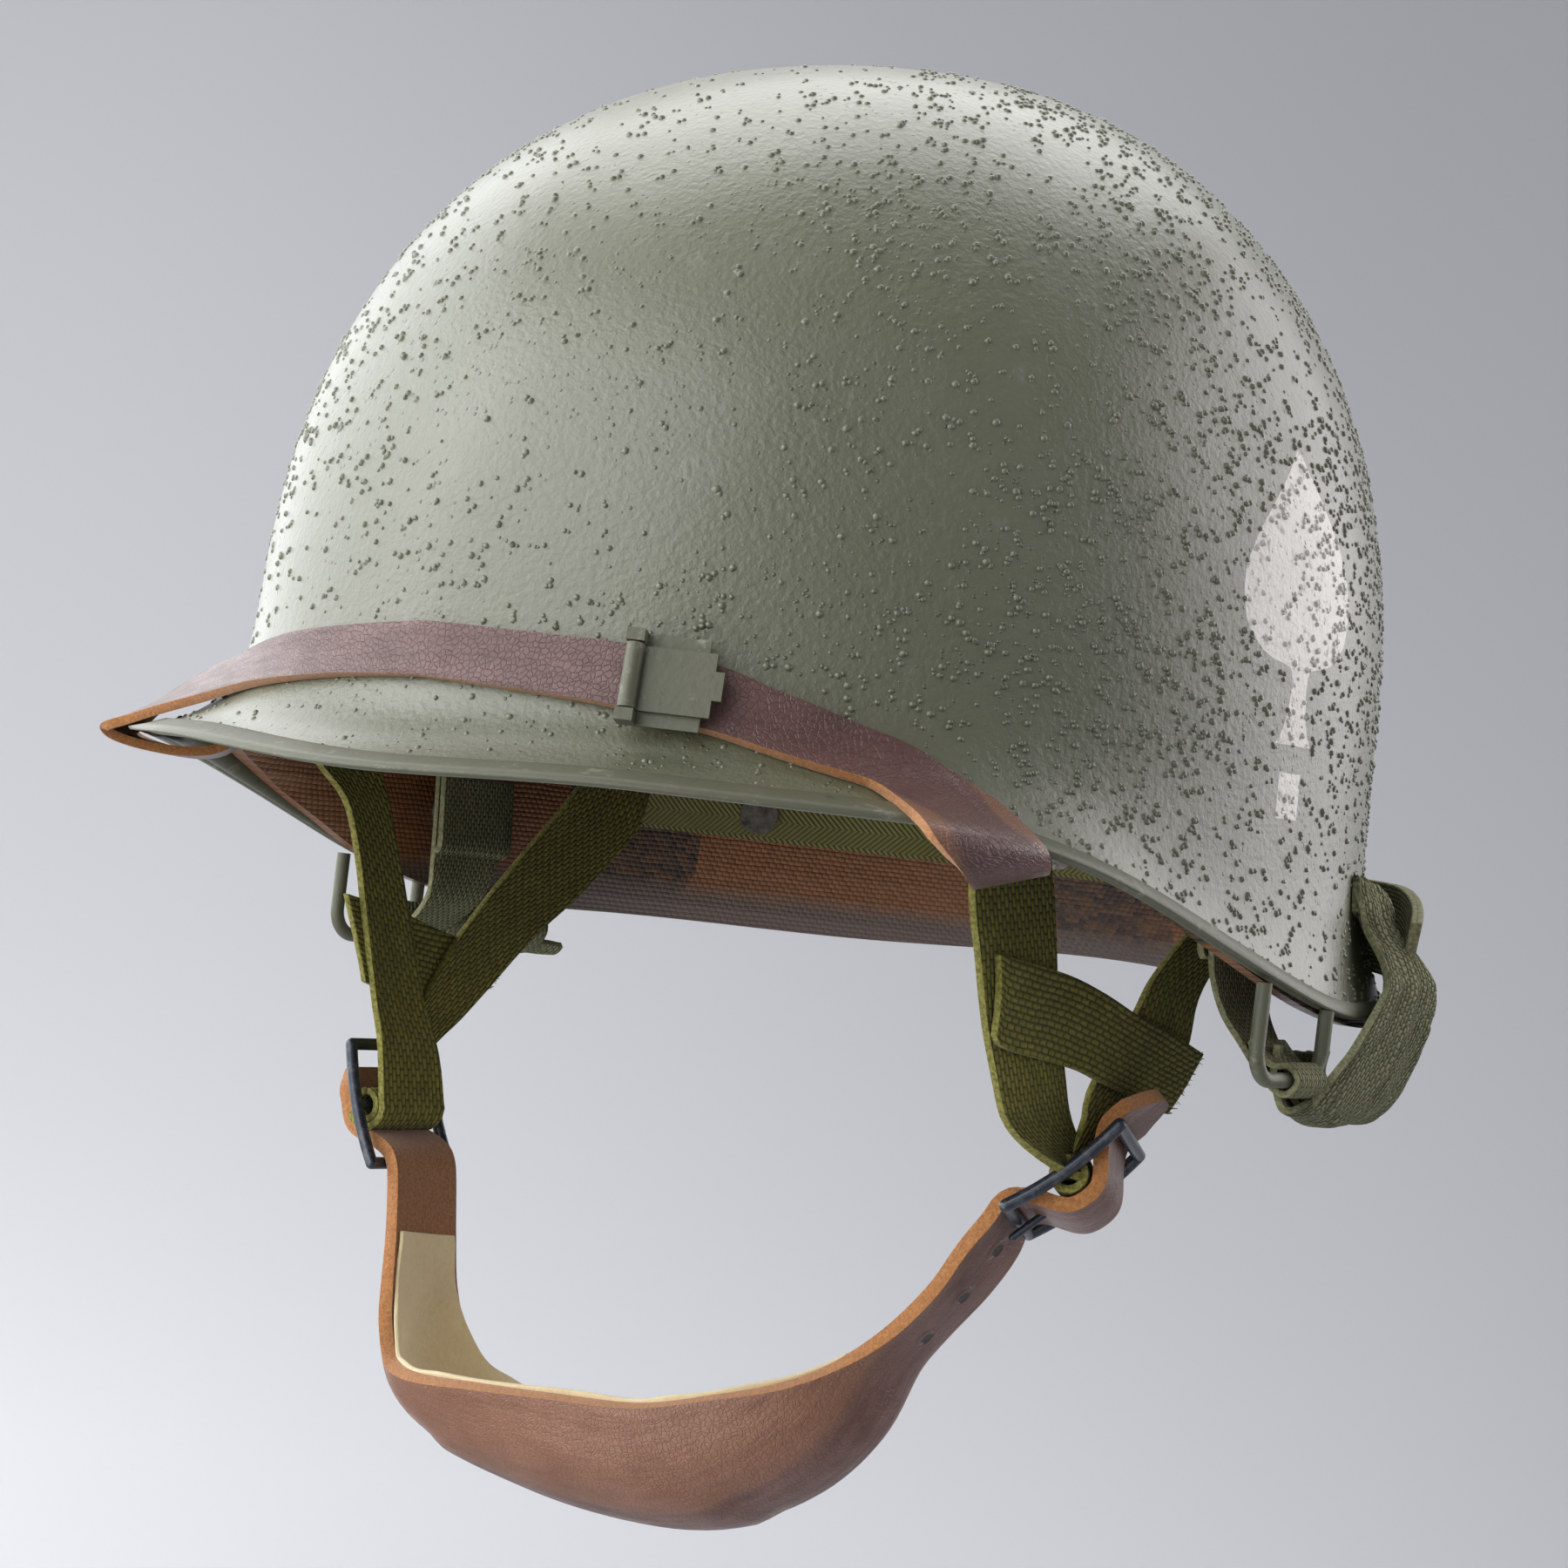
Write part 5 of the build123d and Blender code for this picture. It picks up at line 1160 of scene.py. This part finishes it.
def rolled_layer(name, side, first, last, scale, start, seed):
    """One layer of webbing scrunched round the brim, with creases that run up it and lean to the rear."""
    section = smooth_run([Vector((out, up, 0)) for out, up in roll_section], 5)
    section = section[int(start * len(section)):]
    hang = 1.0 if side > 0 else 0.62
    rows = []
    for i, spot in enumerate(section):
        share = i / (len(section) - 1)
        row = []
        for j in range(45):
            t = j / 44
            bearing = first + (last - first) * t + ease(share, 0.2, 0.62) * (17 - 9 * t)
            gathered = 0.55 + 0.45 * ease(t, 0.0, 0.32)
            phase = t * 15 + share * 5.5 + seed
            fold = 1.25 * (1 - abs(math.sin(phase))) - 0.5
            fold += 1.5 * noise.noise(Vector((t * 5, share * 4, seed)))
            fold += 0.5 * noise.noise(Vector((t * 17, share * 13, seed)))
            outward = spot.x * (scale if spot.x > 0 else 1) * gathered
            outward += fold * (0.5 + 0.5 * math.sin(math.pi * share))
            height = spot.y - 5 * ease(t, 0.5, 1) * share
            if spot.y < 0:
                height = spot.y * (0.86 + 0.14 * gathered) * hang
            height += (1 - gathered) * 3 + 0.8 * noise.noise(Vector((t * 7, share * 5, seed + 4)))
            height /= 1000
            raised = ease(height, 0.004, 0.019)
            point = place_by(bearing, outward, height).lerp(
                pot_wall(max(height, rim_line(bearing)), bearing, max(outward, 0.9) / 1000), raised)
            row.append(Vector((side * point.x, point.y, point.z)))
        rows.append(row)
    piece = surface(name, rows, [shell_web, shell_edge], "helmet", flip=side < 0)
    thicken(piece, SHELL_WEB, 0.0, 1, 0, 0.0003)
    return piece


def shell_strap(side, label):
    bar = 0.0027
    bar_x, bar_z = 0.1169, -0.0125
    # the sewn tab inside: down from the snap, round the bale's lower bar
    tab = [((0.1003, 0.009, 0.0255), (0, 1, 0), 1.0), ((0.0996, 0.009, 0.016), (0, 1, 0), 1.0),
           ((0.0996, 0.009, 0.007), (0, 1, 0), 0.95), ((0.1016, 0.0095, -0.001), (0, 1, 0), 0.8),
           ((0.1062, 0.0088, -0.007), (0, 1, 0), 0.65), ((0.1118, 0.0075, -0.0128), (0, 1, 0), 0.55),
           ((bar_x, 0.006, bar_z - bar), (0, 1, 0), 0.5), ((bar_x + bar, 0.006, bar_z), (0, 1, 0), 0.5),
           ((bar_x + 0.0006, 0.006, bar_z + bar), (0, 1, 0), 0.5),
           ((bar_x - 0.0035, 0.0065, -0.0098), (0, 1, 0), 0.55), ((0.1084, 0.007, -0.0060), (0, 1, 0), 0.6)]
    pieces = [ribbon(f"snap_tab_{label}", side, tab, 0.023)]
    # the folded-over end of the tab, with its line of stitches
    fold = [((0.0982, 0.009, 0.0085), (0, 1, 0), 1.0), ((0.0972, 0.009, 0.0105), (0, 1, 0), 1.0),
            ((0.0975, 0.009, 0.0165), (0, 1, 0), 1.0), ((0.0982, 0.009, 0.0255), (0, 1, 0), 1.0)]
    pieces.append(ribbon(f"snap_tab_fold_{label}", side, fold, 0.0235, crease=0.0002))
    # the strap rolled up over the brim in loose creased layers, then round the back against the pot
    for layer, (first, last, scale, start, seed) in enumerate((
            (91.5, 111.0, 0.62, 0.0, 3.1), (94.5, 114.0, 0.85, 0.14, 8.7))):
        pieces.append(rolled_layer(f"shell_roll_{label}_{layer}", side, first, last, scale, start, seed))
    for layer, shift in enumerate((0.0, 1.0)):
        run = []
        for bearing, outward, height in ((113.0, 4.0 + shift, 10.0), (117.0, 2.5 + shift, 13.0),
                                         (121.0, 0.5 + shift, 15.5), (126.0, -2.0 + shift, 17.0)):
            run.append((place_by(bearing, outward, height / 1000), (0, 0, 1), 1.0))
        for bearing in (131.0, 138.0, 147.0, 157.0, 168.0, 177.5):
            wall = pot_wall(0.0175, bearing, 0.0012 + shift * 0.0014)
            run.append((wall, (0, 0, 1), 1.0))
        pieces.append(ribbon(f"shell_strap_{label}_{layer}", side, run, 0.019, crease=0.0005))
    for piece in pieces:
        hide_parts(f"shell_strap_{label}")


shell_strap(1, "left")
shell_strap(-1, "right")
